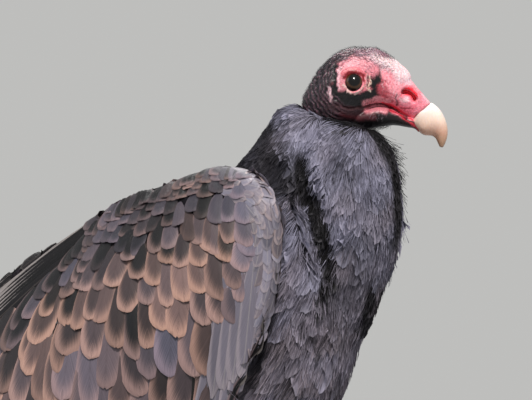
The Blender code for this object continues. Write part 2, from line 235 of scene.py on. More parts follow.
def move_points(mesh, rows):
    """The mesh with its points moved to the rows."""
    mesh.vertices.foreach_set("co", rows.ravel())
    mesh.update()
    return mesh


def colour_points(mesh, name, rows):
    """Gives the mesh's points linear RGBA colours, as an attribute of that name."""
    colours = mesh.color_attributes.new(name, "FLOAT_COLOR", "POINT")
    colours.data.foreach_set("color", rows.astype(np.float32).ravel())


def unit(rows):
    """Each row made one long."""
    return rows / np.maximum(np.linalg.norm(rows, axis=-1, keepdims=True), 1e-9)


def columns(count, *parts):
    """Rows made of columns, each given as one number for all of the rows or as one for each."""
    return np.stack([np.broadcast_to(part, count) for part in parts], axis=1)


def smooth_step(low, high, value):
    """0 below low, 1 above high, and an even curve between them."""
    share = np.clip((value - low) / (high - low), 0, 1)
    return share * share * (3 - 2 * share)


def head_local(rows):
    """Rows in the head's own frame, in millimetres."""
    back = np.array(HEAD.inverted())
    return (rows @ back[:3, :3].T + back[:3, 3]) / MM


def add_piece(name, mesh, materials, replaced=()):
    """The finished mesh as a piece that rides on the bird and stands for the replaced solids."""
    piece = bpy.data.objects.new(name, mesh)
    bpy.context.scene.collection.objects.link(piece)
    for material in materials:
        mesh.materials.append(material)
    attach(piece, "root")
    if replaced:
        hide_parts(*replaced)
    return piece


def merged_copy(*nodes):
    """A bmesh of the solids' triangles, with their doubles merged and paired into quads."""
    bm = bmesh.new()
    for node in nodes:
        bm.from_mesh(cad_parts[node].data)
    bmesh.ops.remove_doubles(bm, verts=bm.verts, dist=0.01 * MM)
    bmesh.ops.join_triangles(
        bm, faces=bm.faces, angle_face_threshold=0.6, angle_shape_threshold=0.9,
        cmp_seam=False, cmp_sharp=False, cmp_uvs=False, cmp_vcols=False, cmp_materials=False,
    )
    return bm


def shaped(bm, levels=0, voxel=0.0, rounds=0):
    """The bmesh as a mesh, subdivided, then remeshed in voxels, then smoothed."""
    mesh = bpy.data.meshes.new("rough")
    bm.to_mesh(mesh)
    bm.free()
    rough = bpy.data.objects.new("rough", mesh)
    bpy.context.scene.collection.objects.link(rough)
    if levels:
        subdivision = rough.modifiers.new("subdivision", "SUBSURF")
        subdivision.levels = subdivision.render_levels = levels
    if voxel:
        remesh = rough.modifiers.new("remesh", "REMESH")
        remesh.mode = "VOXEL"
        remesh.voxel_size = voxel
    if rounds:
        smooth = rough.modifiers.new("smooth", "SMOOTH")
        smooth.factor = 0.5
        smooth.iterations = rounds
    result = bpy.data.meshes.new_from_object(rough.evaluated_get(bpy.context.evaluated_depsgraph_get()))
    bpy.data.objects.remove(rough)
    return result


# %% [markdown]
# ## The bare head
# A vulture's head is naked skin: a smooth pink brow and snout, folds round the nape, a black patch
# before and under the eye, a red nostril that opens right through the bill, and a thin lip along
# the gape. A sculptor would press these in as strokes. Here each stroke is a line in the head's
# side view, with a width, a height and a colour, and it works on both sides at once. The head's
# solid is first remeshed finely with a ring round each eye, which becomes the lids.

# %% Head mesh with eyelids
HEAD_VOXEL = 0.68 * MM
LID_RADIUS, LID_WALL, LID_OUT = 6.9 * MM, 1.05 * MM, 4.2 * MM


def add_ring(bm, place, radius, wall, turns=40, sides=10):
    """A closed ring: a small circle spun right round, with its last ring merged into the first."""
    circle = bmesh.ops.create_circle(bm, segments=sides, radius=wall)["verts"]
    bmesh.ops.rotate(bm, verts=circle, matrix=Matrix.Rotation(math.pi / 2, 3, "X"))
    bmesh.ops.translate(bm, verts=circle, vec=(radius, 0, 0))
    edges = list({edge for vert in circle for edge in vert.link_edges})
    bmesh.ops.spin(
        bm, geom=circle + edges, axis=(0, 0, 1), cent=(0, 0, 0), angle=2 * math.pi, steps=turns,
        use_merge=True, use_duplicate=False,
    )
    faces = {face for edge in edges for face in edge.link_faces}
    grown = set()
    while faces - grown:
        grown |= faces
        faces = {other for face in grown for edge in face.edges for other in edge.link_faces}
    ring = list({vert for face in grown for vert in face.verts})
    bmesh.ops.recalc_face_normals(bm, faces=list(grown))
    bmesh.ops.transform(bm, matrix=place, verts=ring)
    return ring


def add_block(bm, middle, size, tilt=0.0):
    """A box in the head's frame, tilted bill-down by that many degrees. Sizes are millimetres."""
    place = HEAD @ Matrix.Translation(Vector(middle) * MM) @ Matrix.Rotation(math.radians(tilt), 4, "Y")
    bmesh.ops.create_cube(bm, size=1.0, matrix=place @ Matrix.Diagonal((*(Vector(size) * MM), 1.0)))


def add_bulb(bm, middle, size):
    """A ball stretched to that size in the head's frame."""
    place = HEAD @ Matrix.Translation(Vector(middle) * MM)
    stretch = Matrix.Diagonal((*(Vector(size) * MM / 2), 1.0))
    bmesh.ops.create_icosphere(bm, subdivisions=3, radius=1.0, matrix=place @ stretch)


def head_mesh():
    """The head and jaw with lids, nostril wall and mouth lining, as one fine mesh."""
    bm = merged_copy("head")
    jaw = merged_copy("lower_jaw")
    back = HEAD.inverted()
    for vert in jaw.verts:  # the jaw's tip tucks in behind the hook of the bill
        local = back @ vert.co
        local.z += 2.4 * MM * smooth_step(36 * MM, 46 * MM, local.x)
        local.x = min(local.x, 43 * MM + 0.3 * (local.x - 43 * MM))
        vert.co = HEAD @ local
    spare = bpy.data.meshes.new("jaw")
    jaw.to_mesh(spare)
    jaw.free()
    bm.from_mesh(spare)
    bpy.data.meshes.remove(spare)
    add_block(bm, (39, 0, -9), (18, 7.6, 14))  # between the nostrils
    add_block(bm, (11, 0, -17), (36, 8, 6))  # the mouth, closed inside
    add_block(bm, (35, 0, -23.5), (26, 6, 5.5), tilt=30)
    add_block(bm, (43.5, 0, -26), (9, 9, 7), tilt=32)
    for side in (-1, 1):
        add_bulb(bm, (36.8, side * 4.8, -11.8), (10.4, 7.0, 8.6))
        look = Matrix.Rotation(-side * math.pi / 2, 4, "X")
        place = HEAD @ Matrix.Translation((0, side * (EYE_OFFSET + LID_OUT), 0)) @ look
        add_ring(bm, place, LID_RADIUS, LID_WALL)
    return shaped(bm, levels=1, voxel=HEAD_VOXEL, rounds=3)


head = head_mesh()
print("the head has", len(head.polygons), "faces")

# %% Strokes on the head
# Each row: colour, half-width, softness, height (ridge above 0, groove below), points (x, z).
PINK, PALE, WINE, SOOT = "fb92a0", "f5cdd7", "4f1a23", "0b0709"
MAUVE, DUSK, BRICK = "876272", "20171d", "c04a58"
PATCHES = (
    ("f6d2de", 11.0, 9.0, 0.0, ((20, 15), (30, 8), (40, -3))),  # forehead and snout: pale pink, with a painted highlight
    ("fae2e6", 5.0, 6.0, 2.2, ((16, 20), (26, 14), (35, 6))),  # the raised line of the forehead, near white as a painted highlight
    ("ff9dab", 5.5, 5.0, 0.0, ((22, 3), (28, -6), (34, -6))),
    ("fda9b4", 4.0, 4.0, 0.0, ((44, -2), (50, -9))),
    (DUSK, 12.5, 5.0, 0.0, ((-34, -26), (-28, -6), (-24, 8))),  # nape
    (DUSK, 7.5, 5.0, 0.0, ((-24, 8), (-16, 18), (-2, 25.5), (12, 28), (24, 24))),  # crown
    (MAUVE, 2.5, 4.0, 0.0, ((4, 20), (14, 21), (22, 19))),
    ("24121a", 9.5, 6.0, 0.0, ((-32, -20), (-14, -24), (2, -26), (14, -27))),  # under the cheek
    (WINE, 4.4, 3.0, 0.0, ((-6, -20), (10, -22.5), (24, -22))),
    ("200b10", 3.8, 2.5, 0.0, ((20, -23.5), (34, -27.5), (44, -32))),  # side of the jaw
    ("b06a60", 2.2, 2.0, 0.0, ((46, -31), (50, -35))),
    (SOOT, 7.0, 4.0, 0.0, ((-24, -31), (0, -34), (16, -33), (27, -32))),  # chin and throat
    ("3c2229", 6.0, 4.4, 0.0, ((-16, -13), (-4, -16.5), (8, -16))),
    (SOOT, 4.9, 2.2, -0.2, ((-12, -6.5), (-5, -11), (6, -12.4), (16, -9.4))),  # under the eye
    (SOOT, 4.3, 2.2, -0.25, ((14.8, 8), (16.2, 0), (17, -6.5))),  # before the eye
    ("df8795", 5.2, 3.4, 0.3, ((-7, 9.6), (0, 12.6), (8, 11.6), (13, 9.2))),  # brow
    ("e08f9b", 2.8, 2.2, 0.1, ((-8, 8), (-8.6, 2), (-7.8, -3.4))),
    (BRICK, 3.4, 4.0, 0.1, ((20, -4), (22, -10), (26, -13))),
    ("dc8b95", 2.0, 1.8, 0.25, ((8, -14.6), (16, -12.0), (24, -12.6))),  # lip above the gape
    ("ff8094", 5.0, 3.6, 0.0, ((31, -17), (38, -20), (45, -18))),  # below the nostril
    ("ff94a6", 2.8, 2.6, 0.1, ((46, -8), (49.5, -14), (44, -21))),
    ("cf7f8b", 2.4, 2.2, 0.3, ((10, -19.4), (16, -18.6), (22, -19.6))),  # lower lip
)
LINES = (
    ("3a0d14", 0.75, 0.8, -0.6, ((-12, -15.6), (-2, -18.2), (7.5, -17.6), (15, -15.3), (22.7, -15.2),
                                 (28.8, -18.6), (36.4, -23.9), (44.7, -29.8))),  # the gape
    ("b92537", 0.9, 0.9, 0.15, ((24, -17.2), (31, -21.2), (38, -26.6), (46, -32))),  # edge of the jaw
    ("e03348", 0.7, 0.8, 0.1, ((20, -13.6), (28, -16.4), (36, -21.8), (42, -25.6))),
    ("fb2038", 4.6, 1.0, 0.0, ((37, -8.0), (41.5, -9.0))),  # inside the nostril
    ("ee8796", 1.0, 0.9, 0.35, ((32.4, -7.0), (36.4, -3.4), (41.4, -3.0), (45.6, -7.0), (46.6, -12.4))),
    ("f08c9c", 3.6, 1.2, 0.0, ((34.2, -11.9), (38.0, -12.9))),
    ("f9c4cc", 1.6, 1.6, 0.0, ((35.0, -11.4), (38.0, -11.6))),  # the bulb below the nostril: its pale core is a painted highlight
    (PALE, 0.9, 0.9, 0.25, ((48.6, -6.6), (51.5, -11), (52.5, -14))),
    ("f0bcc6", 0.9, 0.9, 0.35, ((-9.6, 10.2), (-10.6, 4), (-9.8, -4))),  # ridge behind the eye, paler on its crest as painted light
    # the groove beside that ridge, painted black as its shade
    (SOOT, 1.5, 1.2, -0.5, ((-12.6, 11), (-13.2, 3), (-12.4, -5))),
    (PALE, 1.0, 1.0, 0.35, ((-17.0, -4.6), (-16.6, -9), (-14.8, -13.4))),  # ear fold
    (SOOT, 1.4, 1.2, -0.6, ((-14.4, -3.6), (-13.8, -8), (-12.8, -12))),  # ear hollow, painted black as the shade in it
    ("d9707c", 1.5, 1.2, 0.6, ((-8, 5.4), (-3.4, 8.8), (2.6, 8.8), (8, 5.4))),  # upper lid's fold
    ("8c1622", 1.1, 0.8, 0.0, ((-6.4, 3.4), (-3.2, 6.6), (2.0, 7.2), (6.4, 4.2), (7.4, 1.4))),  # inner lid: dark red, partly painted shadow under the upper lid
    ("f0c9c4", 0.75, 0.7, 0.15, ((-6.8, -2.6), (-3.6, -6.2), (0.4, -7.4), (4.4, -6.2), (7.4, -2.6))),
    ("d8a1a2", 0.9, 0.8, 0.4, ((8.8, 5.6), (9.8, 2), (9.2, -2.6))),  # folds before the eye, paler on their crests as painted light
    # near-white lines on these folds' crests: painted highlights
    ("f3d9c6", 0.55, 0.6, 0.4, ((11.2, 4.6), (12.0, 1.6), (11.4, -3.0))),
    ("f3d9c6", 0.45, 0.5, 0.3, ((9.2, -4.4), (11.4, -7.0))),
    # a groove among them, painted dark as its shade
    (WINE, 0.45, 0.6, -0.3, ((7.8, 7.8), (10.6, 3.4), (10.4, -3.8))),
    (BRICK, 0.7, 0.9, -0.3, ((20, 1.5), (22, 0.6), (24.5, -1.4))),  # fold across the snout, painted darker in its groove as shade
    # the grooves that follow are painted darker as their shade
    (BRICK, 0.5, 0.8, -0.25, ((22, -6.5), (26, -7.6), (30, -10.4), (29.6, -14))),
    (WINE, 0.6, 0.8, -0.35, ((30.4, -8.4), (30.2, -12), (31.4, -16))),
    (BRICK, 0.5, 0.7, -0.3, ((33, -17.6), (37, -18.4), (41, -18.0))),
)


def stroke_cover(x, z, half_width, softness, line):
    """How much a stroke covers each place: 1 on the line, fading out past its half-width."""
    nearest = np.full(len(x), 1e9)
    for (ax, az), (bx, bz) in zip(line, line[1:]):
        dx, dz = bx - ax, bz - az
        along = np.clip(((x - ax) * dx + (z - az) * dz) / (dx * dx + dz * dz), 0, 1)
        nearest = np.minimum(nearest, np.hypot(x - ax - along * dx, z - az - along * dz))
    return 1 - smooth_step(half_width - softness / 2, half_width + softness / 2, nearest)


def wander(rows, size, seed):
    """A smooth random value near -1 to 1, made of a few waves in fixed directions."""
    draw = np.random.default_rng(seed)
    total = 0.0
    for _ in range(5):
        way = unit(draw.normal(size=3)) * (2 * math.pi / size) * draw.uniform(0.7, 1.4)
        total = total + np.sin(rows @ way + draw.uniform(0, 6.3))
    return total / 2.4


def sculpt_head(mesh):
    """Presses the strokes and folds into the mesh and paints them as a colour attribute."""
    at = head_local(points_of(mesh))
    out = normals_of(mesh) @ np.array(HEAD)[:3, :3]
    bent = at + 0.6 * columns(len(at), *(wander(at, 7, seed) for seed in (1, 2, 3)))
    bent += 0.3 * columns(len(at), *(wander(at, 1.9, seed) for seed in (11, 12, 13)))
    x, z = bent[:, 0], bent[:, 2]
    facing = smooth_step(0.05, 0.5, np.abs(out[:, 1]))
    paint = np.tile(linear(PINK), (len(at), 1))
    height = np.zeros(len(at))
    for rows, gate in ((PATCHES, np.ones(len(at))), (LINES, facing)):
        for code, half_width, softness, rise, line in rows:
            cover = stroke_cover(x, z, half_width, softness, line) * gate
            paint += (np.array(linear(code)) - paint) * cover[:, None]
            height += rise * cover
    # Folds run in arcs round the eye: coarse ones over the nape, fine ones over the forehead. Their crests
    # are painted in the light tone and their troughs in the dark one: painted light on the crests, painted
    # shade in the troughs.
    radius, turn = np.hypot(x, z), np.arctan2(z, x)
    nape = smooth_step(1.75, 2.3, np.abs(turn)) * smooth_step(13.5, 17, radius)
    brow = smooth_step(11.5, 14, radius) * smooth_step(0.45, 0.8, turn) * smooth_step(2.3, 1.8, turn)
    snout = smooth_step(18, 22, radius) * smooth_step(0.55, 0.2, np.abs(turn)) * smooth_step(38, 33, x)
    for share, spacing, depth, light, dark in (
        (nape, 2.7, 0.6, MAUVE, "150f13"), (brow, 1.7, 0.2, PALE, MAUVE), (snout, 2.1, 0.14, PALE, PINK),
    ):
        wave = np.cos(2 * math.pi * radius / spacing + 1.2 * wander(at, 11, 4))
        broken = 0.7 + 0.4 * wander(at, 6, 5)
        height += share * depth * wave * broken
        # painted light on each fold's crest and painted shade in its trough
        for code, cover in ((light, wave), (dark, -wave)):
            cover = share * 0.6 * np.clip(cover, 0, 1) * np.clip(broken, 0, 1)
            paint += (np.array(linear(code)) - paint) * cover[:, None]
    height += 0.05 * wander(at, 2.2, 6) + 0.03 * wander(at, 1.4, 7)
    moved = at + out * height[:, None]
    place = np.array(HEAD)
    colour_points(mesh, "paint", paint)
    move_points(mesh, moved * MM @ place[:3, :3].T + place[:3, 3])


sculpt_head(head)
print("strokes pressed into the head:", len(PATCHES) + len(LINES))

# %% [markdown]
# ## Markings and painted light
# The plumage is marked in tracts: a black throat and hind neck, a pale crop, a black cleft beside it,
# dark scales along the wing's top edge, a grey bend and brown coverts. Many of these tones are painted
# light and shade. The cleft, the hollow beside the neck and the dark slits are painted shadow. The
# throat, the front of the neck, the collar and the hind neck are partly painted shade. The crop's bulge
# and the wing's middle are partly painted light, with painted highlights along the bulge's edges. Each
# tract is a stroke again, in a side view. The tables are used twice, for the feathers and for the skin
# under them, so that both carry the same markings and the same painted light and shade.

# %% Tracts of the neck, the breast and the wings
SATIN = (("020203", "9493a9"), ("060505", "978b95"))  # (dark, light) of cold and of warm body feathers
BROWN = (("08080e", "7f7e95"), ("0c0a0b", "78605d"))  # the same of the coverts
# Tracts of the neck and breast in the head's side view, the same on both sides of the bird. Several rows
# are painted shade and painted highlights, as their comments say.
# Each row: shade (0 black to 1 pale grey), half-width, softness, height, points (x, z).
TRACTS_AND_PAINTED_LIGHT = (
    (0.02, 14, 10, 0.0, ((-96, -84), (-86, -60), (-74, -42), (-62, -22))),  # hind neck: black, partly painted shade on the side turned from the light
    (0.07, 14, 9, 0.0, ((-64, -54), (-52, -66), (-42, -76))),  # the hollow beside the neck: painted shade
    # a less dark spot within the hollow's painted shade
    (0.2, 3, 5, 0.0, ((-50, -54), (-44, -61))),
    (0.8, 8.5, 6, 0.8, ((-49, -22), (-43, -30), (-42, -38))),
    (0.85, 17, 12, 1.4, ((-20, -34), (2, -48), (10, -72), (0, -96), (4, -124))),  # the crop's bulge: pale grey, partly painted light on its lit near side
    (1.0, 4, 5, 1.6, ((-31, -46), (-27, -64), (-17, -84), (-8, -102))),  # its near edge: a painted highlight
    # a pale strip down the front of the crop: painted highlight
    (0.85, 5, 6, 0.4, ((18, -70), (19, -90), (16, -110))),
    (0.5, 5, 6, 0.0, ((-8, -54), (-3, -66), (-5, -80))),
    (0.42, 12, 14, 0.0, ((0, -122), (9, -136))),
    (1.0, 11, 10, 0.6, ((-47, -104), (-38, -120), (-35, -140), (-34, -165))),  # beside the wing
    (0.85, 8, 6, 0.8, ((-48, -92), (-38, -100))),
    (0.08, 8.0, 6.0, -3.0, ((-58, -64), (-45, -71), (-36, -80))),  # the cleft's upper end: painted shade in the hollow
    (0.0, 5.6, 3.0, -3.5, ((-37, -58), (-34, -76), (-27, -88))),  # cleft, painted black as its shadow; its groove is pressed in as well
    (0.0, 8.0, 3.0, -6.0, ((-29, -84), (-23, -104), (-20, -120))),
    (0.0, 4.6, 3.0, -4.0, ((-19, -120), (-18, -138))),
    (0.0, 7.5, 4.0, -0.6, ((17, -35), (24, -47))),  # black throat: partly dark feathers, partly painted shade under the head
    (0.0, 5.2, 3.0, -0.4, ((27, -50), (29.5, -76), (30, -112))),  # black front of the neck: partly dark feathers, partly painted shade on the side turned from the light
    (0.01, 4.6, 3.4, 0.0, ((-34, -14), (-20, -22), (-8, -29), (6, -33), (18, -37))),  # collar: black, partly painted shade under the head
    (0.08, 5, 7, -0.6, ((-54, -128), (-60, -158), (-68, -200))),  # in the wing's shadow
    (0.0, 2.6, 2.4, -1.4, ((-25, -140), (-22, -156))),  # slits where vanes part, painted black as the shade in them
    (0.0, 2.8, 2.4, -1.6, ((10, -142), (8, -156), (5, -172))),
    (0.1, 2.2, 2.0, -1.0, ((-38, -172), (-30, -180), (-25, -188))),
)
# Tracts of the wing in the bird's side view. The dark slits are painted shadows under rows of coverts,
# and the warm middle row is partly painted light. Each row: shade, warmth, wear of the edges, half-width,
# softness, points (x, z).
WING_TRACTS_AND_PAINTED_LIGHT = (
    (0.07, 0.45, 0.30, 27, 16, ((125, 358), (100, 364), (42, 349), (-26, 318), (-70, 290))),  # top edge
    (0.55, 0.25, 0.55, 12, 12, ((114, 356), (124, 340), (126, 310), (120, 280), (108, 240), (98, 200))),
    # the wing's lit middle: tan edges, partly painted light
    (0.62, 0.95, 1.00, 14, 14, ((84, 312), (70, 290), (58, 262))),
    (0.22, 0.40, 0.80, 9, 10, ((60, 262), (56, 240))),
    (0.05, 0.50, 0.30, 3, 4, ((-74, 256), (-39, 272))),  # dark slits between rows: painted shadows under the rows of coverts
    (0.05, 0.50, 0.30, 3, 4, ((-74, 230), (-42, 243))),
    (0.40, 0.85, 0.95, 12, 14, ((-50, 222), (0, 214), (40, 206))),
)


def profile(rows):
    """Places in the head's side view, x and z in millimetres, with the bird's sides folded over."""
    return head_local(rows * [1, 0, 1] - [0, 1, 0] * np.abs(rows))[:, [0, 2]].T


def pressed(mesh):
    """The mesh with the tracts' ridges and grooves pressed into its sides."""
    at, out = points_of(mesh), normals_of(mesh)
    x, z = profile(at)
    height = np.zeros(len(at))
    for _, half_width, softness, rise, line in TRACTS_AND_PAINTED_LIGHT:
        height += rise * stroke_cover(x, z, half_width, softness, line)
    height += 1.1 * wander(at / MM, 30, 36)  # lobes of soft plumage
    height *= smooth_step(0.1, 0.5, np.abs(out[:, 1]))
    return move_points(mesh, at + out * height[:, None] * MM)


def body_tint(roots, draw, spread):
    """Shade, warmth and chance of each feather at those roots."""
    x, z = profile(roots)
    # Darker towards the back, partly painted shade on the side away from the light, and paler low on the
    # breast
    shade = 0.56 + 0.1 * smooth_step(-130, -190, z) - 0.3 * smooth_step(-90, -130, x)
    for tone, half_width, softness, _, line in TRACTS_AND_PAINTED_LIGHT:
        shade += (tone - shade) * stroke_cover(x, z, half_width, softness, line)
    patchy = 0.3 * wander(roots / MM, 32, 32) + 0.18 * wander(roots / MM, 9, 34)
    shade = np.clip(shade * (1 + patchy + draw.normal(0, spread, len(roots))), 0, 1)
    warmth = np.clip(0.15 + 0.5 * smooth_step(-100, -180, z) + 0.3 * wander(roots / MM, 26, 33), 0, 1)
    return columns(len(roots), shade, warmth, draw.random(len(roots)))


def wing_tint(rows, draw, spread):
    """Shade, warmth, chance and wear of a feather at each place of the wing's outer face."""
    x, z = rows[:, 0] / MM, rows[:, 2] / MM
    tones = np.tile([0.31, 0.88, 0.8], (len(rows), 1))
    for *tone, half_width, softness, line in WING_TRACTS_AND_PAINTED_LIGHT:
        tones += (np.array(tone) - tones) * stroke_cover(x, z, half_width, softness, line)[:, None]
    patchy = columns(len(rows), *(wander(rows / MM, size, 44 + size) for size in (30, 36, 28)))
    tones += patchy * [0.22, 0.2, 0.2] + draw.normal(0, 1, tones.shape) * spread
    shade, warmth, wear = np.clip(tones, (0, 0, 0.1), (1, 1, 1)).T
    return columns(len(rows), shade, warmth, draw.random(len(rows)), wear)


def paint_shaded_down(mesh, tint, tones):
    """Paints a skin as the feathers that will stand on it are, at a third of their light: painted shade
    under the coat, so that gaps between feathers look dark.
    """
    shade, warmth = tint[:, 0:1], tint[:, 1:2]
    cold, warm = (np.array(linear(dark)) * (1 - shade) + np.array(linear(light)) * shade
                  for dark, light in tones)
    paint = (cold + (warm - cold) * warmth) * (0.33, 0.33, 0.33, 1)
    colour_points(mesh, "paint", paint)


# %% [markdown]
# ## The skin under the coat
# Feathers stand on skin, so the body's solids are drawn in by the depth of the coat before the
# feathers go on. Where a solid is thin, as at a wing's tip, the skin keeps a third of its thickness
# on each side. The rounded body parts are remeshed together, so that no seam shows between them.
# Wings and tail are too thin for voxels and are subdivided instead.

# %% Body, wing, tail and foot skins
BODY_NODES = ("neck_front", "neck_back", "trunk", "thigh_right", "thigh_left")
WING_NODES = ("wing_right", "wing_left")
FOOT_NODES = ("foot_right", "foot_left")
BODY_VOXEL, FOOT_VOXEL = 3.5 * MM, 1.0 * MM
WING_COAT, TAIL_COAT = 3.6 * MM, 1.2 * MM  # how deep the feathers lie there


def draw_in(mesh, depth):
    """Moves the surface inwards by depth, but never by more than a third of the local thickness."""
    at, out = points_of(mesh), normals_of(mesh)
    tree = BVHTree.FromPolygons(at.tolist(), [p.vertices[:] for p in mesh.polygons])
    through = np.full(len(at), 1.0)
    for i, (p, n) in enumerate(zip(at, out)):
        hit = tree.ray_cast(Vector(p - n * 0.05 * MM), Vector(-n))
        if hit[0] is not None:
            through[i] = hit[3]
    shift = np.minimum(depth, 0.33 * through)
    return move_points(mesh, at - out * shift[:, None])


def body_coat_depth(rows):
    """The coat is thin on the upper neck and thick on the breast and back."""
    height = rows[:, 2] / MM
    return (3.0 + 3.5 * smooth_step(405, 340, height) - 2.0 * smooth_step(130, 90, height)) * MM


def swollen(mesh):
    """A wing's skin made fuller along its top and front edges, where smoothing thinned it."""
    at, out = points_of(mesh), normals_of(mesh)
    x = at[:, 0] / MM
    forearm = smooth_step(-30, 15, x) * smooth_step(104, 78, x)
    at[:, 2] += 7 * MM * forearm * smooth_step(0.1, 0.8, out[:, 2])
    at[:, 0] += 5 * MM * smooth_step(60, 110, x) * smooth_step(0.2, 0.9, out[:, 0])
    return move_points(mesh, at)


body = pressed(shaped(merged_copy(*BODY_NODES), voxel=BODY_VOXEL, rounds=4))
draw_in(body, body_coat_depth(points_of(body)))
wings = {node: swollen(draw_in(shaped(merged_copy(node), levels=2, rounds=2), WING_COAT))
         for node in WING_NODES}
tail = draw_in(shaped(merged_copy("tail"), levels=1), TAIL_COAT)
still = np.random.default_rng(0)
paint_shaded_down(body, body_tint(points_of(body), still, 0.0), SATIN)
for node, side in zip(WING_NODES, (-1, 1)):
    outer = np.maximum(smooth_step(0.0, 0.3, normals_of(wings[node])[:, 1] * side), 0.1)
    paint_shaded_down(wings[node], wing_tint(points_of(wings[node]), still, 0.0) * outer[:, None], BROWN)


def foot_mesh(node):
    """A foot remeshed finely, with rows of scutes across the shank and the toes."""
    mesh = shaped(merged_copy(node), levels=1, voxel=FOOT_VOXEL, rounds=3)
    at, out = points_of(mesh) / MM, normals_of(mesh)
    low, high = (np.array(c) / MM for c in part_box(node))
    joint = np.array(((low[0] + high[0]) / 2 - 12.0, (low[1] + high[1]) / 2, 0.0))
    reach = np.hypot(at[:, 0] - joint[0], at[:, 1] - joint[1])
    on_toes = smooth_step(17, 12, at[:, 2])
    along = np.where(at[:, 2] > 14, at[:, 2] / 3.6, reach / 3.0)
    scute = np.abs(np.sin(math.pi * along)) ** 0.5 - 0.6
    upper = np.where(on_toes > 0.5, smooth_step(-0.1, 0.5, out[:, 2]), smooth_step(-0.4, 0.4, out[:, 0]))
    raised = 0.35 * scute * upper + 0.12 * wander(at, 2.0, 21)
    raised *= smooth_step(0.6, 2.0, at[:, 2])
    return move_points(mesh, (at + out * raised[:, None]) * MM)


feet = {node: foot_mesh(node) for node in FOOT_NODES}
print("body", len(body.polygons), "faces, wing", len(wings["wing_right"].polygons),
      "faces, foot", len(feet["foot_right"].polygons), "faces")

# %% [markdown]
# ## Skin materials
# Bare skin is soft and slightly see-through, so light bleeds under its surface: that is subsurface
# scattering, with a reach of about a millimetre. Its colour comes from the painted attribute, broken
# by a fine mottle, and its pores and creases are bump. Under the coat the skin is dark down, painted
# dark as the shade under the feathers.

# %% Skin materials


def make_bare_skin():
    """Naked wrinkled skin, satin, with pores about a millimetre apart."""
    material, tree, shader = new_material(
        "bare_head_skin", Roughness=0.42, Subsurface_Weight=0.18, Subsurface_Scale=0.9 * MM,
        Subsurface_Radius=(1.0, 0.35, 0.25), Specular_IOR_Level=0.45,
    )
    place = add(tree, "TexCoord", out="Object")
    paint = add(tree, "VertexColor", {"layer_name": "paint"})
    blotches = add(tree, "TexNoise", Vector=place, Scale=1 / (1.1 * MM), Detail=3.0)
    mottle = add(tree, "ValToRGB", {"stops": ((0.3, "c9b6ba"), (0.62, "ffffff"))}, Fac=blotches)
    mixed = add(tree, "Mix", MULTIPLY, out=2, i0=0.8, i6=paint, i7=mottle)
    pores = add(tree, "TexVoronoi", Vector=place, Scale=1 / (0.9 * MM))
    creases = add(tree, "TexNoise", Vector=place, Scale=1 / (1.6 * MM), Detail=4.0)
    height = add(tree, "Math", {"operation": "MULTIPLY_ADD"}, i0=pores, i1=0.5, i2=creases)
    bumped = add(tree, "Bump", Strength=0.6, Distance=0.22 * MM, Height=height)
    connect(shader, mixed, bumped)
    return material


def make_shaded_down():
    """Down at the feathers' roots, in the paint of the feathers over it, darkened as painted shade under
    the coat: matt, with no gloss.
    """
    material, tree, shader = new_material("shaded_down_skin", Roughness=0.95, Specular_IOR_Level=0.1)
    place = add(tree, "TexCoord", out="Object")
    tufts = add(tree, "TexNoise", Vector=place, Scale=1 / (2.0 * MM), Detail=4.0)
    paint = add(tree, "VertexColor", {"layer_name": "paint"})
    dark = add(tree, "ValToRGB", {"stops": ((0.3, "8f8a8c"), (0.7, "ffffff"))}, Fac=tufts)
    colour = add(tree, "Mix", MULTIPLY, out=2, i0=1.0, i6=paint, i7=dark)
    bumped = add(tree, "Bump", Strength=0.8, Distance=0.6 * MM, Height=tufts)
    connect(shader, colour, bumped)
    return material


def make_leg_skin():
    """Scaled leg skin: dull pink, chalky over the scutes, darker in the seams between them."""
    material, tree, shader = new_material(
        "scaled_leg_skin", Roughness=0.62, Subsurface_Weight=0.08, Subsurface_Scale=0.8 * MM,
        Subsurface_Radius=(1.0, 0.4, 0.3),
    )
    place = add(tree, "TexCoord", out="Object")
    cells = add(tree, "TexVoronoi", {"feature": "DISTANCE_TO_EDGE"}, Vector=place, Scale=1 / (1.7 * MM))
    seams = add(tree, "ValToRGB", {"stops": ((0.0, "6b4646"), (0.12, "c49c94"), (0.5, "e2cbc2"))},
                Fac=cells)
    powder = add(tree, "TexNoise", Vector=place, Scale=1 / (6.0 * MM), Detail=3.0)
    chalk = add(tree, "ValToRGB", {"stops": ((0.40, "c98f88"), (0.58, "f2ebe4"))}, Fac=powder)
    mixed = add(tree, "Mix", MULTIPLY, out=2, i0=1.0, i6=seams, i7=chalk)
    bumped = add(tree, "Bump", Strength=0.8, Distance=0.4 * MM, Height=cells)
    connect(shader, mixed, bumped)
    return material


# %% Join and unwrap the skin


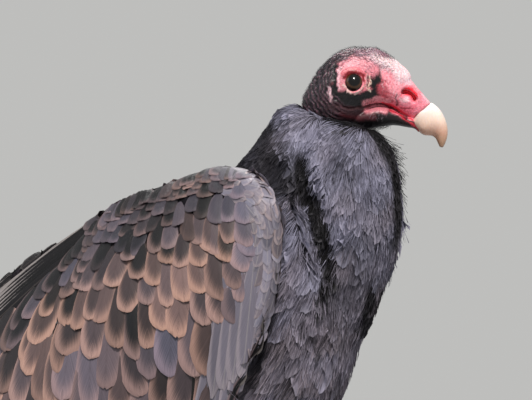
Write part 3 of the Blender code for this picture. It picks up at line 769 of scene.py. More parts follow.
def make_skin():
    """One skin for all the flesh: head, body, wings, tail and feet in one object, unwrapped."""
    parts = [(head, 0), (body, 1), (tail, 1)]
    parts += [(mesh, 1) for mesh in wings.values()] + [(mesh, 2) for mesh in feet.values()]
    materials = (make_bare_skin(), make_shaded_down(), make_leg_skin())
    objects = []
    for mesh, number in parts:
        mesh = mesh.copy()
        for material in materials:
            mesh.materials.append(material)
        mesh.polygons.foreach_set("material_index", np.full(len(mesh.polygons), number, np.int32))
        mesh.shade_smooth()
        objects.append(bpy.data.objects.new("skin", mesh))
        bpy.context.scene.collection.objects.link(objects[-1])
    with bpy.context.temp_override(active_object=objects[0], selected_editable_objects=objects):
        bpy.ops.object.join()
    skin = objects[0]
    bpy.context.view_layer.objects.active = skin
    skin.select_set(True)
    bpy.ops.object.mode_set(mode="EDIT")
    bpy.ops.mesh.select_all(action="SELECT")
    bpy.ops.uv.smart_project(angle_limit=math.radians(66), island_margin=0.002)
    bpy.ops.object.mode_set(mode="OBJECT")
    skin.data.uv_layers.active.name = "OFBake"
    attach(skin, "root")
    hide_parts("head", "lower_jaw", "tail", *BODY_NODES, *WING_NODES, *FOOT_NODES)
    return skin


skin = make_skin()
print("one skin of", len(skin.data.polygons), "faces")

# %% [markdown]
# ## Eyes
# A bird's eye is a wet ball with a clear dome over the iris. Here the ball is a UV sphere whose pole
# looks outwards and is pushed out a little, and the colour follows the distance from that pole:
# black pupil, hazel iris, dark rim. A clear coat gives the wet shine.

# %% Eyes


def make_eye_finish(side):
    """Pupil and iris in rings about the line of sight, under a clear wet coat."""
    material, tree, shader = new_material(
        f"wet_eye_{'left' if side > 0 else 'right'}", Roughness=0.3, Specular_IOR_Level=0.1,
        Coat_Weight=1.0, Coat_Roughness=0.03, Coat_IOR=1.376,
    )
    middle = HEAD @ Vector((0, side * EYE_OFFSET, 0))
    sight = (HEAD.to_3x3() @ Vector((0.10, side, 0.30))).normalized()
    place = add(tree, "TexCoord", out="Object")
    local = add(tree, "VectorMath", {"operation": "SUBTRACT"}, i0=place, i1=middle)
    along = add(tree, "VectorMath", {"operation": "DOT_PRODUCT"}, out="Value", i0=local, i1=sight)
    cosine = add(tree, "Math", {"operation": "DIVIDE"}, i0=along, i1=EYE_RADIUS)
    spokes = add(tree, "TexNoise", Vector=local, Scale=1 / (1.1 * MM), Detail=2.0)
    wobble = add(tree, "Math", {"operation": "MULTIPLY_ADD"}, i0=spokes, i1=0.03, i2=cosine)
    rings = ((0.0, "0c0809"), (0.58, "0d0809"), (0.66, "3a2414"), (0.78, "4f321a"), (0.86, "2c1a10"),
             (0.895, "040304"), (1.0, "040304"))
    colour = add(tree, "ValToRGB", {"stops": rings}, Fac=wobble)
    tree.links.new(colour, shader.inputs["Base Color"])
    return material


def make_eye(name, side):
    """The eyeball, its pole turned outwards and domed as the cornea is."""
    bm = bmesh.new()
    bmesh.ops.create_uvsphere(bm, u_segments=48, v_segments=32, radius=EYE_RADIUS)
    for vert in bm.verts:
        share = max(0.0, vert.co.z / EYE_RADIUS)
        vert.co *= 1 + 0.05 * share ** 6
    turn = Matrix.Rotation(-side * math.pi / 2, 4, "X")
    place = HEAD @ Matrix.Translation((0, side * EYE_OFFSET, 0)) @ turn
    bmesh.ops.transform(bm, matrix=place, verts=bm.verts)
    mesh = bpy.data.meshes.new(name)
    bm.to_mesh(mesh)
    bm.free()
    mesh.shade_smooth()
    add_piece(name, mesh, [make_eye_finish(side)], [name])


make_eye("eye_right", -1)
make_eye("eye_left", 1)
print("two eyes")

# %% [markdown]
# ## Bill and claws
# The bill's hook is ivory horn, warm and smooth, with faint growth lines that run down its side and
# a browner tip. Its lower part is painted darker and pinker, as painted shade under its lit top.
# Claws are black horn. Both start from their own solids, subdivided and smoothed.

# %% Bill hook and claws


def make_horn(name, stops, coat, size):
    """Smooth horn with faint growth bands, in colours that follow the height above the tip: a browner tip,
    then a darker, pinker lower part that is painted shade, then pale above.
    """
    material, tree, shader = new_material(
        name, Roughness=0.34, Coat_Weight=coat, Coat_Roughness=0.25, Subsurface_Weight=0.15,
        Subsurface_Scale=1.2 * MM, Subsurface_Radius=(1.0, 0.7, 0.4),
    )
    low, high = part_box("bill_hook")
    place = add(tree, "TexCoord", out="Object")
    streak = add(tree, "Mapping", Vector=place, Scale=(1, 1, 0.35))
    bands = add(tree, "TexNoise", Vector=streak, Scale=1 / (size * MM), Detail=3.0)
    level = add(tree, "SeparateXYZ", Vector=place, out="Z")
    level = add(tree, "MapRange", Value=level, From_Min=low.z, From_Max=high.z)
    mixed = add(tree, "Math", {"operation": "MULTIPLY_ADD"}, i0=bands, i1=0.16, i2=level)
    bumped = add(tree, "Bump", Strength=0.5, Distance=0.25 * MM, Height=bands)
    connect(shader, add(tree, "ValToRGB", {"stops": stops}, Fac=mixed), bumped)
    return material


def bill_mesh():
    """The hook, a little fuller than its solid, with a deep lower edge that hides the jaw's tip."""
    mesh = shaped(merged_copy("bill_hook"), levels=2, rounds=3)
    at, out = points_of(mesh) / MM, normals_of(mesh)
    at += 0.7 * out
    x, _, z = head_local(at * MM).T
    drop = 5.4 * smooth_step(60, 50, x) * smooth_step(-19, -27, z) * (0.7 + 0.3 * smooth_step(43, 50, x))
    at[:, 2] -= drop
    at -= (0.25 * drop)[:, None] * np.array(HEAD_FORWARD)
    mesh.shade_smooth()
    return move_points(mesh, at * MM)


# The ramp's darker, pinker low stops are painted shade under the hook's lit top; the browner tip is the
# horn's own
ivory = make_horn("ivory_horn", ((0.05, "9c7a62"), (0.2, "bd9478"), (0.42, "d3a38c"), (0.7, "f0d6c6"),
                                 (1.0, "f9efea")), 0.2, 1.2)
add_piece("bill_horn", bill_mesh(), [ivory], ["bill_hook"])


def make_claws():
    """The eight claws as one piece of black horn."""
    names = [f"claw_{toe}_{side}" for toe in ("inner", "middle", "outer", "hind")
             for side in ("right", "left")]
    mesh = shaped(merged_copy(*names), levels=2, rounds=1)
    mesh.shade_smooth()
    material, tree, shader = new_material("black_horn", Roughness=0.38, Coat_Weight=0.2, Coat_Roughness=0.3)
    place = add(tree, "TexCoord", out="Object")
    growth = add(tree, "TexNoise", Vector=place, Scale=1 / (1.5 * MM), Detail=3.0)
    colour = add(tree, "ValToRGB", {"stops": ((0.35, "120f10"), (0.7, "35292a"))}, Fac=growth)
    bumped = add(tree, "Bump", Strength=0.4, Distance=0.2 * MM, Height=growth)
    connect(shader, colour, bumped)
    add_piece("claws", mesh, [material], names)


make_claws()
print("bill and claws")

# %% [markdown]
# ## How a coat of feathers is laid
# A feather's vane is a thin lens: two sheets of a grid, welded round the edge. One template is laid
# hundreds of times as a joined mesh. Each copy starts at a root on the skin, follows the lie of the
# coat over the skin's surface in short steps, and rises from its sunken root to a free tip that
# covers the roots behind it, like tiles on a roof. Two maps go with it: "vane" runs across and along
# each feather, and "OFBake" puts it as a small patch at its root's place on the skin's unwrap. The
# "tint" attribute gives each feather its own shade, warmth and pale edge.

# %% The vane template


def vane_template(cells, rows):
    """Across (-1 to 1), row number and height of each point of a vane, and its faces."""
    bm = bmesh.new()
    bmesh.ops.create_grid(bm, x_segments=cells, y_segments=rows, size=1)
    copied = bmesh.ops.duplicate(bm, geom=bm.verts[:] + bm.edges[:] + bm.faces[:])["geom"]
    lower = [item for item in copied if isinstance(item, bmesh.types.BMFace)]
    bmesh.ops.reverse_faces(bm, faces=lower)
    under = {vert for face in lower for vert in face.verts}
    for vert in bm.verts:
        inside = 1 - vert.co.x ** 2 if abs(vert.co.y) < 0.999 else 0.0
        vert.co.z = -inside if vert in under else inside
    bmesh.ops.remove_doubles(bm, verts=bm.verts, dist=0.0001)
    bm.verts.index_update()
    points = np.array([vert.co[:] for vert in bm.verts])
    faces = np.array([[vert.index for vert in face.verts] for face in bm.faces])
    bm.free()
    row = np.rint((points[:, 1] + 1) / 2 * rows).astype(int)
    return {"u": points[:, 0], "row": row, "h": points[:, 2], "faces": faces,
            "column": np.rint((points[:, 0] + 1) / 2 * cells).astype(int)}


# %% Trees over the skin, and places on its unwrap


def surface_tree(meshes):
    """A search tree over some meshes, for the nearest point of the skin."""
    points, faces = [], []
    for mesh in meshes:
        start = len(points)
        points += [Vector(p) for p in points_of(mesh)]
        faces += [[start + v for v in polygon.vertices] for polygon in mesh.polygons]
    return BVHTree.FromPolygons(points, faces)


SKIN_TREE = surface_tree([skin.data])
unwrapped = np.empty(len(skin.data.loops) * 2)
skin.data.uv_layers["OFBake"].data.foreach_get("uv", unwrapped)
unwrapped = unwrapped.reshape(-1, 2)
PATCH = 0.003  # a feather's size on the unwrap


def unwrap_places(roots):
    """Where each root lies on the skin's unwrap: the middle of its nearest face."""
    found = [SKIN_TREE.find_nearest(Vector(root))[2] for root in roots]
    loops = [skin.data.polygons[i].loop_indices for i in found]
    return np.array([unwrapped[list(run)].mean(axis=0) for run in loops])


# %% Roots and the lie of the coat


def scatter(mesh, spacing, keep, seed, tries=14):
    """Roots over a mesh where keep(place, normal) is true. No two are nearer than the spacing, which is
    a distance or a function of the place. Tries is how many places are tried for each spacing's area."""

    def gaps_at(rows):
        """The spacing at each row."""
        return spacing(rows) if callable(spacing) else np.full(len(rows), spacing)

    draw = np.random.default_rng(seed)
    mesh.calc_loop_triangles()
    corners = points_of(mesh)[np.array([t.vertices[:] for t in mesh.loop_triangles])]
    cross = np.cross(corners[:, 1] - corners[:, 0], corners[:, 2] - corners[:, 0])
    area = np.linalg.norm(cross, axis=1) / 2
    middles = corners.mean(axis=1)
    share = np.where(keep(middles, unit(cross)), area / gaps_at(middles) ** 2, 0)
    count = int(share.sum() * tries)
    chosen = draw.choice(len(area), count, p=share / share.sum())
    a, b = draw.random((2, count, 1))
    over = a + b > 1
    a, b = np.where(over, 1 - a, a), np.where(over, 1 - b, b)
    first, second, third = corners[chosen].transpose(1, 0, 2)
    spots = first + a * (second - first) + b * (third - first)
    spots = spots[keep(spots, unit(cross[chosen]))]
    gaps = gaps_at(spots)
    cell = gaps.max()
    boxes, kept = {}, []
    for i, (spot, gap) in enumerate(zip(spots, gaps)):
        home = tuple((spot // cell).astype(int))
        near = [j for x in (-1, 0, 1) for y in (-1, 0, 1) for z in (-1, 0, 1)
                for j in boxes.get((home[0] + x, home[1] + y, home[2] + z), ())]
        if not near or ((spots[near] - spot) ** 2).sum(axis=1).min() > gap * gap:
            boxes.setdefault(home, []).append(i)
            kept.append(i)
    return spots[kept]


def guided(guides):
    """A field through guide rows of (place, value): values nearer by count for more. Places are in
    millimetres on the bird's left, and a value's y changes sign on its right."""
    places = np.array([place for place, _ in guides]) * MM
    values = np.array([value for _, value in guides], float)

    def field(rows):
        """The mixed value at each row."""
        side = np.where(rows[:, 1:2] < 0, -1.0, 1.0)
        folded = rows * [1, 0, 1] + [0, 1, 0] * np.abs(rows)
        away = np.linalg.norm(folded[:, None] - places[None], axis=2)
        weight = 1 / np.maximum(away, MM) ** 3.0
        mixed = (weight / weight.sum(axis=1, keepdims=True)) @ values
        if mixed.shape[1] == 3:
            mixed = mixed * np.concatenate([np.ones_like(side), side, np.ones_like(side)], axis=1)
        return mixed

    return field


def follow(tree, roots, lie, length, rows, yaw=0.0):
    """The spines of feathers that run over the surface with the lie: places, normals and ways. The lie
    is a way for each feather, or a field of them, and yaw turns each feather off it."""
    at, spine = roots, []
    yaw, step = (np.broadcast_to(value, len(roots))[:, None] for value in (yaw, length / rows))
    for _ in range(rows + 1):
        near = [tree.find_nearest(Vector(p)) for p in at]
        at = np.array([hit[0] for hit in near])
        out = np.array([hit[1] for hit in near])
        way = lie(at) if callable(lie) else lie
        way = unit(way - (way * out).sum(axis=1, keepdims=True) * out)
        way = way * np.cos(yaw) + np.cross(out, way) * np.sin(yaw)
        spine.append((at, out, way))
        at = at + way * step + out * MM
    places, outs, ways = (np.array([row[k] for row in spine]) for k in range(3))
    for _ in range(2):
        outs[1:-1] = unit(outs[:-2] + 2 * outs[1:-1] + outs[2:])
        places[1:-1] = (places[:-2] + 2 * places[1:-1] + places[2:]) / 4
    return places, outs, ways


# %% Laying feathers as one joined mesh


def lay(name, finish, cells, spine, width, heights, tint, seed, outline, camber=0.12, roll=0.0,
        thick=0.2 * MM, ragged=0.0, curve=1.0, blunt=0.7, bunch=1.0):
    """Feathers along the spines as one piece, and their number. Heights are (root, tip) above the skin,
    width is the half-width, and outline gives it along the vane as (place, share). Each vane has that
    many cells across. Camber arches it, roll leans it, thick is half its thickness and ragged frays it.
    Curve bends the tip up, blunt rounds it, and bunch gathers the rows towards it."""
    draw = np.random.default_rng(seed)
    places, outs, ways = spine
    rows, count = len(places) - 1, places.shape[1]
    template = vane_template(cells, rows)
    u, row, h = template["u"], template["row"], template["h"]
    v = 1 - (1 - row / rows) ** bunch
    before = np.minimum((v * rows).astype(int), rows - 1)
    part = (v * rows - before)[:, None, None]
    sides = np.cross(ways, outs)
    grow = np.interp(v, *np.array(outline).T)
    jitter = 1 + ragged * draw.normal(size=(count, rows + 1))[:, row] * np.abs(u)
    width = np.broadcast_to(width, count)[:, None]
    across = width * grow * u * jitter
    root, tip, lean = (np.broadcast_to(np.asarray(x, float), count)[:, None] for x in (*heights, roll))
    lift = root + (tip - root) * v ** curve - camber * np.abs(across) * np.abs(u) + lean * across
    lift = lift + thick * h
    split = draw.normal(size=(count, cells + 1))[:, template["column"]] * ragged * 1.6
    run = np.linalg.norm(np.diff(places, axis=0), axis=2).sum(axis=0)
    slip = split * v ** 5 * run[:, None] - blunt * width * u ** 2 * v ** 4
    p, n, w, s = ((field[before] * (1 - part) + field[before + 1] * part).transpose(1, 0, 2)
                  for field in (places, outs, ways, sides))
    points = p + s * across[..., None] + n * lift[..., None] + w * slip[..., None]
    mesh = bpy.data.meshes.new(name)
    faces = template["faces"]
    corners = (faces[None] + np.arange(count)[:, None, None] * len(u)).reshape(-1)
    mesh.vertices.add(count * len(u))
    mesh.vertices.foreach_set("co", points.ravel())
    mesh.loops.add(len(corners))
    mesh.loops.foreach_set("vertex_index", corners)
    mesh.polygons.add(count * len(faces))
    mesh.polygons.foreach_set("loop_start", np.arange(0, len(corners), 4))
    mesh.polygons.foreach_set("loop_total", np.full(count * len(faces), 4))
    mesh.update(calc_edges=True)
    mesh.shade_smooth()
    mesh.set_sharp_from_angle(angle=math.radians(50))
    vane = np.stack([(u + 1) / 2, v], axis=1)
    patch = unwrap_places(places[0])[:, None] + (vane[None] - 0.5) * PATCH
    for layer, rows_of in (("vane", np.broadcast_to(vane, (count, len(u), 2))), ("OFBake", patch)):
        mesh.uv_layers.new(name=layer).data.foreach_set("uv", rows_of.reshape(-1, 2)[corners].ravel())
    tint = np.concatenate([tint, np.ones((count, 4 - tint.shape[1]))], axis=1)
    colour_points(mesh, "tint", np.repeat(tint, len(u), axis=0))
    add_piece(name, mesh, [finish])
    return count


# %% [markdown]
# ## Feather finishes
# A feather is matt keratin, cut into barbs that run slantwise from the shaft and catch the light in
# fine streaks. The streak pattern is noise stretched along the barbs, in the feather's own map, so it
# turns with every feather. Shade mixes a dark and a light tone, warmth mixes a cold pair with a warm
# pair, and wear bleaches the edge of the vane.

# %% Feather finish


def make_plumage(name, cold, warm, edges, rim_from, rim_to, wear, barbs, slope, streaks,
                 shaft="000000", shaft_strength=0.0, **settings):
    """A feather finish. Cold and warm are (dark, light) tones of the vane, and edges its cold and warm
    edge. From rim_from to rim_to, as shares of the way out from the shaft, wear bleaches the vane.
    Barbs is how many streaks run along it, slope how far they slant, and streaks how dark they are."""
    material, tree, shader = new_material(name, **settings)
    vane = add(tree, "UVMap", {"uv_map": "vane"})
    across = add(tree, "SeparateXYZ", Vector=vane)
    along = across.node.outputs["Y"]
    off = add(tree, "Math", {"operation": "MULTIPLY_ADD"}, i0=across, i1=2.0, i2=-1.0)
    off = add(tree, "Math", {"operation": "ABSOLUTE"}, i0=off)
    tint = add(tree, "VertexColor", {"layer_name": "tint"})
    shade = add(tree, "SeparateColor", Color=tint)
    warmth, chance = shade.node.outputs[1], shade.node.outputs[2]
    # Barbs slant towards the tip, so their number rises along the vane and falls across it
    slant = add(tree, "Math", {"operation": "MULTIPLY_ADD"}, i0=off, i1=-slope, i2=along)
    slant = add(tree, "Math", {"operation": "MULTIPLY"}, i0=slant, i1=barbs)
    shift = add(tree, "Math", {"operation": "MULTIPLY"}, i0=chance, i1=91.0)
    lines = add(tree, "CombineXYZ", X=slant, Y=across, Z=shift)
    barb = add(tree, "TexNoise", Vector=lines, Scale=1.0, Detail=3.0, Roughness=0.6)
    tones = [add(tree, "Mix", MIX, out=2, i0=shade, i6=linear(dark), i7=linear(light))
             for dark, light in (cold, warm)]
    colour = add(tree, "Mix", MIX, out=2, i0=warmth, i6=tones[0], i7=tones[1])
    rim = add(tree, "Math", {"operation": "POWER"}, i0=along, i1=3.5)
    rim = add(tree, "Math", {"operation": "MULTIPLY_ADD"}, i0=off, i1=off, i2=rim)
    worn = add(tree, "Math", {"operation": "MULTIPLY_ADD"}, i0=barb, i1=0.5, i2=rim)
    worn = add(tree, "MapRange", {"interpolation_type": "SMOOTHSTEP"}, Value=worn,
               From_Min=rim_from + 0.25, From_Max=rim_to + 0.25, To_Max=wear)
    amount = add(tree, "Math", {"operation": "MULTIPLY"}, i0=worn, i1=tint.node.outputs["Alpha"])
    edge = add(tree, "Mix", MIX, out=2, i0=warmth, i6=linear(edges[0]), i7=linear(edges[1]))
    colour = add(tree, "Mix", MIX, out=2, i0=amount, i6=colour, i7=edge)
    grey = add(tree, "MapRange", Value=barb, From_Min=0.3, From_Max=0.7, To_Min=1 - streaks,
               To_Max=1 + streaks * 0.5)
    colour = add(tree, "Mix", MULTIPLY, out=2, i0=1.0, i6=colour, i7=grey)
    if shaft_strength:
        quill = add(tree, "MapRange", Value=off, From_Min=0.03, From_Max=0.10, To_Min=shaft_strength,
                    To_Max=0.0)
        colour = add(tree, "Mix", MIX, out=2, i0=quill, i6=colour, i7=linear(shaft))
    bumped = add(tree, "Bump", Strength=0.6, Distance=0.25 * MM, Height=barb)
    connect(shader, colour, bumped)
    return material


satin = make_plumage(
    "grey_satin_plumage", *SATIN, ("a7a3ae", "a7a3ae"), 0.5, 1.0, 0.12, slope=2.4, barbs=9.0,
    streaks=0.3, Roughness=0.65, Specular_IOR_Level=0.12)
brown = make_plumage(
    "brown_edged_coverts", *BROWN, ("847888", "bb9383"), 0.26, 1.0, 0.9, shaft="1c1618",
    shaft_strength=0.12, barbs=70.0, slope=0.6, streaks=0.3, Roughness=0.5, Specular_IOR_Level=0.35)
slate = make_plumage(
    "blue_grey_coverts", ("2a2936", "8a8799"), ("28232a", "86787f"), ("a7a0ac", "b39a90"), 0.55, 1.0, 0.7,
    shaft="a39c98", shaft_strength=0.3, barbs=110.0, slope=0.3, streaks=0.25, Roughness=0.42)
black = make_plumage(
    "black_flight_feathers", ("040305", "24232a"), ("080606", "352b29"), ("aaa3a4", "b9ada5"),
    0.72, 0.9, 0.9, shaft="5c534e", shaft_strength=0.3, barbs=140.0, slope=0.2, streaks=0.3,
    Roughness=0.5, Specular_IOR_Level=0.2)
print("four feather finishes")

# %% [markdown]
# ## Body plumage
# The neck, crop, breast and back carry soft contour feathers that flow down and back. Their lie is
# given at a few guide places on the bird and blended between them, and their shade comes from the
# tracts. They go on in two layers: vanes that give the form, and over them fine strands of loose
# barbs, which make the plumage look like hair or satin.

# %% The lie of the body's plumage
BODY_LIE = guided((  # places in millimetres on the bird's left, and the way that the feathers lie there
    ((135, 0, 412), (-0.75, 0, -0.66)), ((150, 45, 390), (-0.35, 0.1, -0.93)),
    ((202, 0, 370), (0.1, 0, -1)), ((185, 35, 350), (-0.05, 0, -1)),
    ((190, 15, 290), (-0.25, 0, -0.97)), ((165, 35, 240), (-0.3, 0, -0.95)),
    ((115, 30, 170), (-0.85, 0, -0.5)), ((40, 0, 135), (-1, 0, -0.15)),
    ((115, 50, 365), (-0.6, 0.1, -0.8)), ((70, 20, 365), (-0.9, 0, -0.42)),
    ((-50, 0, 240), (-0.85, 0, -0.53)), ((60, 65, 220), (-0.75, 0, -0.66)),
    ((-60, 0, 150), (-0.95, 0, -0.3)), ((60, 40, 160), (-0.5, 0, -0.86)),
    ((40, 38, 95), (-0.2, 0, -0.98)),
))


def body_spacing(rows):
    """Feathers stand 4.5 mm apart at the top of the neck, and 8.5 mm low on the body."""
    return (4.5 + 4.0 * smooth_step(400, 250, rows[:, 2] / MM)) * MM


def body_keep(rows, out):
    """All of the body but the strip under the folded wings."""
    x, y, z = (rows / MM).T
    return ~((x < 105) & (x > -90) & (np.abs(y) > 30) & (z > 175) & (z < 345))


# %% Body vanes
BODY_TREE = surface_tree([body])


def body_vanes():
    """Contour feathers over the neck, crop, breast, back, belly and thighs."""
    draw = np.random.default_rng(5)
    roots = scatter(body, body_spacing, body_keep, seed=11)
    gap, count = body_spacing(roots), len(roots)
    yaw = draw.normal(0, 0.10, count) + 0.12 * wander(roots / MM, 45, 31)
    spine = follow(BODY_TREE, roots, BODY_LIE, gap * draw.uniform(3.4, 4.2, count), 6, yaw)
    depth = body_coat_depth(roots)
    outline = ((0, 0.35), (0.25, 0.85), (0.6, 1.0), (0.85, 0.85), (1, 0.6))
    return lay("body_vanes", satin, 4, spine, gap * 0.9, (-0.3 * depth, depth * 0.6),
               body_tint(spine[0][3], draw, 0.1), 12, outline, ragged=0.025, camber=0.06, blunt=0.6,
               bunch=1.4)


print("body vanes:", body_vanes())

# %% Body hairs


def body_hairs(name, low, high, gap, length, seed):
    """Loose barbs, fine as hair, between two heights above the floor."""
    draw = np.random.default_rng(seed)

    def band(rows, out):
        """Between the two heights."""
        return body_keep(rows, out) & (rows[:, 2] >= low * MM) & (rows[:, 2] < high * MM)

    roots = scatter(body, gap * MM, band, seed=seed, tries=3)
    count = len(roots)
    yaw = draw.normal(0, 0.08, count) + 0.18 * wander(roots / MM, 26, 35)
    spine = follow(BODY_TREE, roots, BODY_LIE, length * MM * draw.uniform(0.6, 1.4, count), 3, yaw)
    depth = body_coat_depth(roots)
    outline = ((0, 0.5), (0.35, 1.0), (0.7, 0.75), (1, 0.12))
    return lay(name, satin, 2, spine, draw.uniform(0.12, 0.30, count) * MM,
               (depth * 0.3, depth * draw.uniform(0.6, 0.85, count)), body_tint(spine[0][2], draw, 0.25),
               seed, outline, thick=0.1 * MM, camber=0.2, ragged=0.05)


for name, low, high, gap, length in (  # lowest and highest place, between roots, length, millimetres
    ("neck_hairs", 368, 430, 1.0, 13), ("crop_hairs", 320, 368, 1.15, 15),
    ("breast_hairs", 265, 320, 1.3, 17), ("belly_hairs", 200, 265, 1.6, 18),
    ("rump_hairs", 60, 200, 2.4, 19),
):
    print(name, body_hairs(name, low, high, gap, length, seed=low))

# %% Loose feathers and bristles


def head_lie(rows):
    """Bristles lie back over the crown and down over the nape and the cheeks."""
    at = head_local(rows)
    down = smooth_step(0, -16, at[:, 0]) + smooth_step(-4, -14, at[:, 2])
    return unit(columns(len(at), -1, 0, -0.15 - 1.6 * down)) @ np.array(HEAD)[:3, :3].T


def bristles(name, gap, length, lift, shades, warmth, seed, half_width, where):
    """Bristles on the bare head, where the function of its side view is true."""
    draw = np.random.default_rng(seed)

    def kept(rows, out):
        """Where the side view's function is true."""
        x, _, z = head_local(rows).T
        return where(x, z)

    roots = scatter(head, gap * MM, kept, seed=seed, tries=3)
    count = len(roots)
    spine = follow(HEAD_TREE, roots, head_lie, length * MM * draw.uniform(0.5, 1.3, count), 3,
                   draw.normal(0, 0.35, count))
    tint = columns(count, draw.uniform(*shades, count), warmth, draw.random(count))
    return lay(name, satin, 2, spine, draw.uniform(0.6, 1.2, count) * half_width * MM,
               (-0.2 * MM, lift * MM * draw.uniform(0.5, 1.3, count)), tint, seed,
               ((0, 1), (0.6, 0.8), (1, 0.1)), thick=0.05 * MM, camber=0.1)


HEAD_TREE = surface_tree([head])
for row in (  # name, gap, length, lift, shades, warmth, seed, half-width, and where, x and z from the eye
    ("crown_bristles", 0.95, 3.6, 1.5, (0.0, 0.35), 0.6, 81, 0.1,
     lambda x, z: (z > 16 - 0.02 * (x - 4) ** 2 - 4 * (x < -6)) & (x > -24) & (x < 30) & (z > 8)),
    ("nape_bristles", 1.25, 4.2, 1.2, (0.0, 0.2), 0.5, 82, 0.1, lambda x, z: x < -13),
    ("face_bristles", 0.85, 2.6, 0.8, (0.0, 0.12), 0.5, 83, 0.1,
     lambda x, z: ((np.hypot(x - 15.5, z * 0.45) < 3.6) | (np.hypot((x - 1) * 0.28, z + 10.8) < 4.2))
     & (np.hypot(x, z) > 8.2)),
    ("chin_bristles", 1.0, 6.0, 2.6, (0.0, 0.1), 0.5, 84, 0.1, lambda x, z: (z < -27) & (x < 27)),
    ("lip_bristles", 1.3, 2.8, 1.4, (0.8, 1.0), 0.9, 85, 0.07,
     lambda x, z: np.hypot((x - 18) * 0.4, z + 22.5) < 2.4),
    ("snout_bristles", 2.6, 1.6, 0.9, (0.0, 0.2), 0.6, 86, 0.07,
     lambda x, z: (x > 4) & (x < 34) & (z > -2)),
):
    print(row[0], bristles(*row))

TUFTS = (  # x and z in the head's side view, then length, how far the tip stands off, shade
    (20, -34, 20, 8, 0.0), (22, -38, 18, 10, 0.0), (24, -41, 20, 9, 0.0), (26, -45, 20, 8, 0.0),
    (29, -49, 22, 8, 0.0), (31, -55, 22, 7, 0.0), (33, -62, 22, 6, 0.02), (34, -70, 24, 6, 0.1),
    (35, -76, 26, 8, 0.8), (36, -82, 26, 9, 0.95), (36, -88, 24, 8, 0.9), (36, -94, 24, 6, 0.8),
    (35, -100, 22, 5, 0.7), (34, -112, 24, 6, 0.6), (30, -124, 24, 6, 0.5),
)


def tufts():
    """Black loose strands at the throat, and pale ones with small vanes that stand off the breast."""
    draw = np.random.default_rng(91)
    rows = np.array(TUFTS, float)
    rows = np.repeat(rows, np.where(rows[:, 4] > 0.5, 40, 60), axis=0)
    count, pale = len(rows), rows[:, 4] > 0.5
    places = rows[:, :2] + draw.normal(0, 2.4, (count, 2))
    places = np.array([HEAD @ (Vector((x, 0, z)) * MM) for x, z in places])
    places[:, 1] += np.where(pale, draw.normal(18, 4, count), draw.normal(0, 7, count)) * MM
    roots = np.array([BODY_TREE.find_nearest(Vector(place))[0] for place in places])
    spine = follow(BODY_TREE, roots, BODY_LIE, rows[:, 2] * MM * draw.uniform(0.5, 1.1, count), 6,
                   draw.normal(0, 0.2, count))
    tint = columns(count, rows[:, 4], 0.2, draw.random(count))
    stand_off = (4 + rows[:, 3]) * MM
    lay("loose_feathers", satin, 2, spine, draw.uniform(0.12, 0.35, count) * MM,
        (1.0 * MM, stand_off * draw.beta(2, 2.5, count)), tint, 92,
        ((0, 0.5), (0.3, 1.0), (0.7, 0.7), (1, 0.1)), ragged=0.01, thick=0.1 * MM, curve=1.6)
    tips = np.flatnonzero(pale)[::10]
    lay("breast_tips", satin, 4, [field[:, tips] for field in spine],
        draw.uniform(1.2, 2.4, len(tips)) * MM,
        (1.0 * MM, stand_off[tips] * draw.uniform(0.4, 0.9, len(tips))), tint[tips], 93,
        ((0, 0.4), (0.5, 1.0), (0.8, 0.7), (1, 0.15)), ragged=0.08, thick=0.15 * MM, curve=1.6)


tufts()

# %% [markdown]
# ## Wing coverts
# The folded wing's upper side is tiled with coverts in rows that run parallel to its top edge. The
# first rows are small and scale-like, and each row is longer and broader than the one above. Every
# second row is set off by half a feather, as tiles are. The feathers' front edges lean up, so that
# each lies over the one before it.

# %% Rows of coverts
# The wing's top edge, (x, z) in the bird's side view, and the way that the rows run down from each place
RIM = ((133, 350), (120, 366), (97, 373), (70, 370), (42, 360), (10, 348), (-26, 326), (-70, 296),
       (-110, 266))
RIM_WAYS = ((-0.08, -1), (0.05, -1), (0.12, -1), (0.08, -1), (0.0, -1), (-0.2, -0.97), (-0.4, -0.9),
            (-0.75, -0.66), (-0.8, -0.6))
ROW_STEPS = (8, 9, 10, 12, 14, 17, 20, 23, 26, 30)  # from each row to the next
ROW_WIDTHS = (9, 9.5, 10, 11, 12, 13, 13.5, 14.5, 16, 17, 18)  # between feathers in a row
BEND = ((90, 378), (113, 375), (129, 364), (138, 348), (142, 326), (142, 300), (138, 276), (130, 250))
ROUND = np.linspace(0, math.pi / 2, 7)
COVERT_OUTLINE = ((0, 0.4), (0.3, 0.88), (0.5, 1.0),  # the tip, a third of the vane, is half an ellipse
                  *((0.68 + 0.32 * math.sin(a), max(math.cos(a), 0.12)) for a in ROUND))
WING_TREES = {node: surface_tree([mesh]) for node, mesh in wings.items()}


def along_line(points, count):
    """Evenly spaced places along a line through points, as rows."""
    points = np.array(points, float)
    reach = np.concatenate([[0], np.cumsum(np.linalg.norm(np.diff(points, axis=0), axis=1))])
    share = np.linspace(0, reach[-1], count)
    return np.stack([np.interp(share, reach, column) for column in points.T], axis=1)


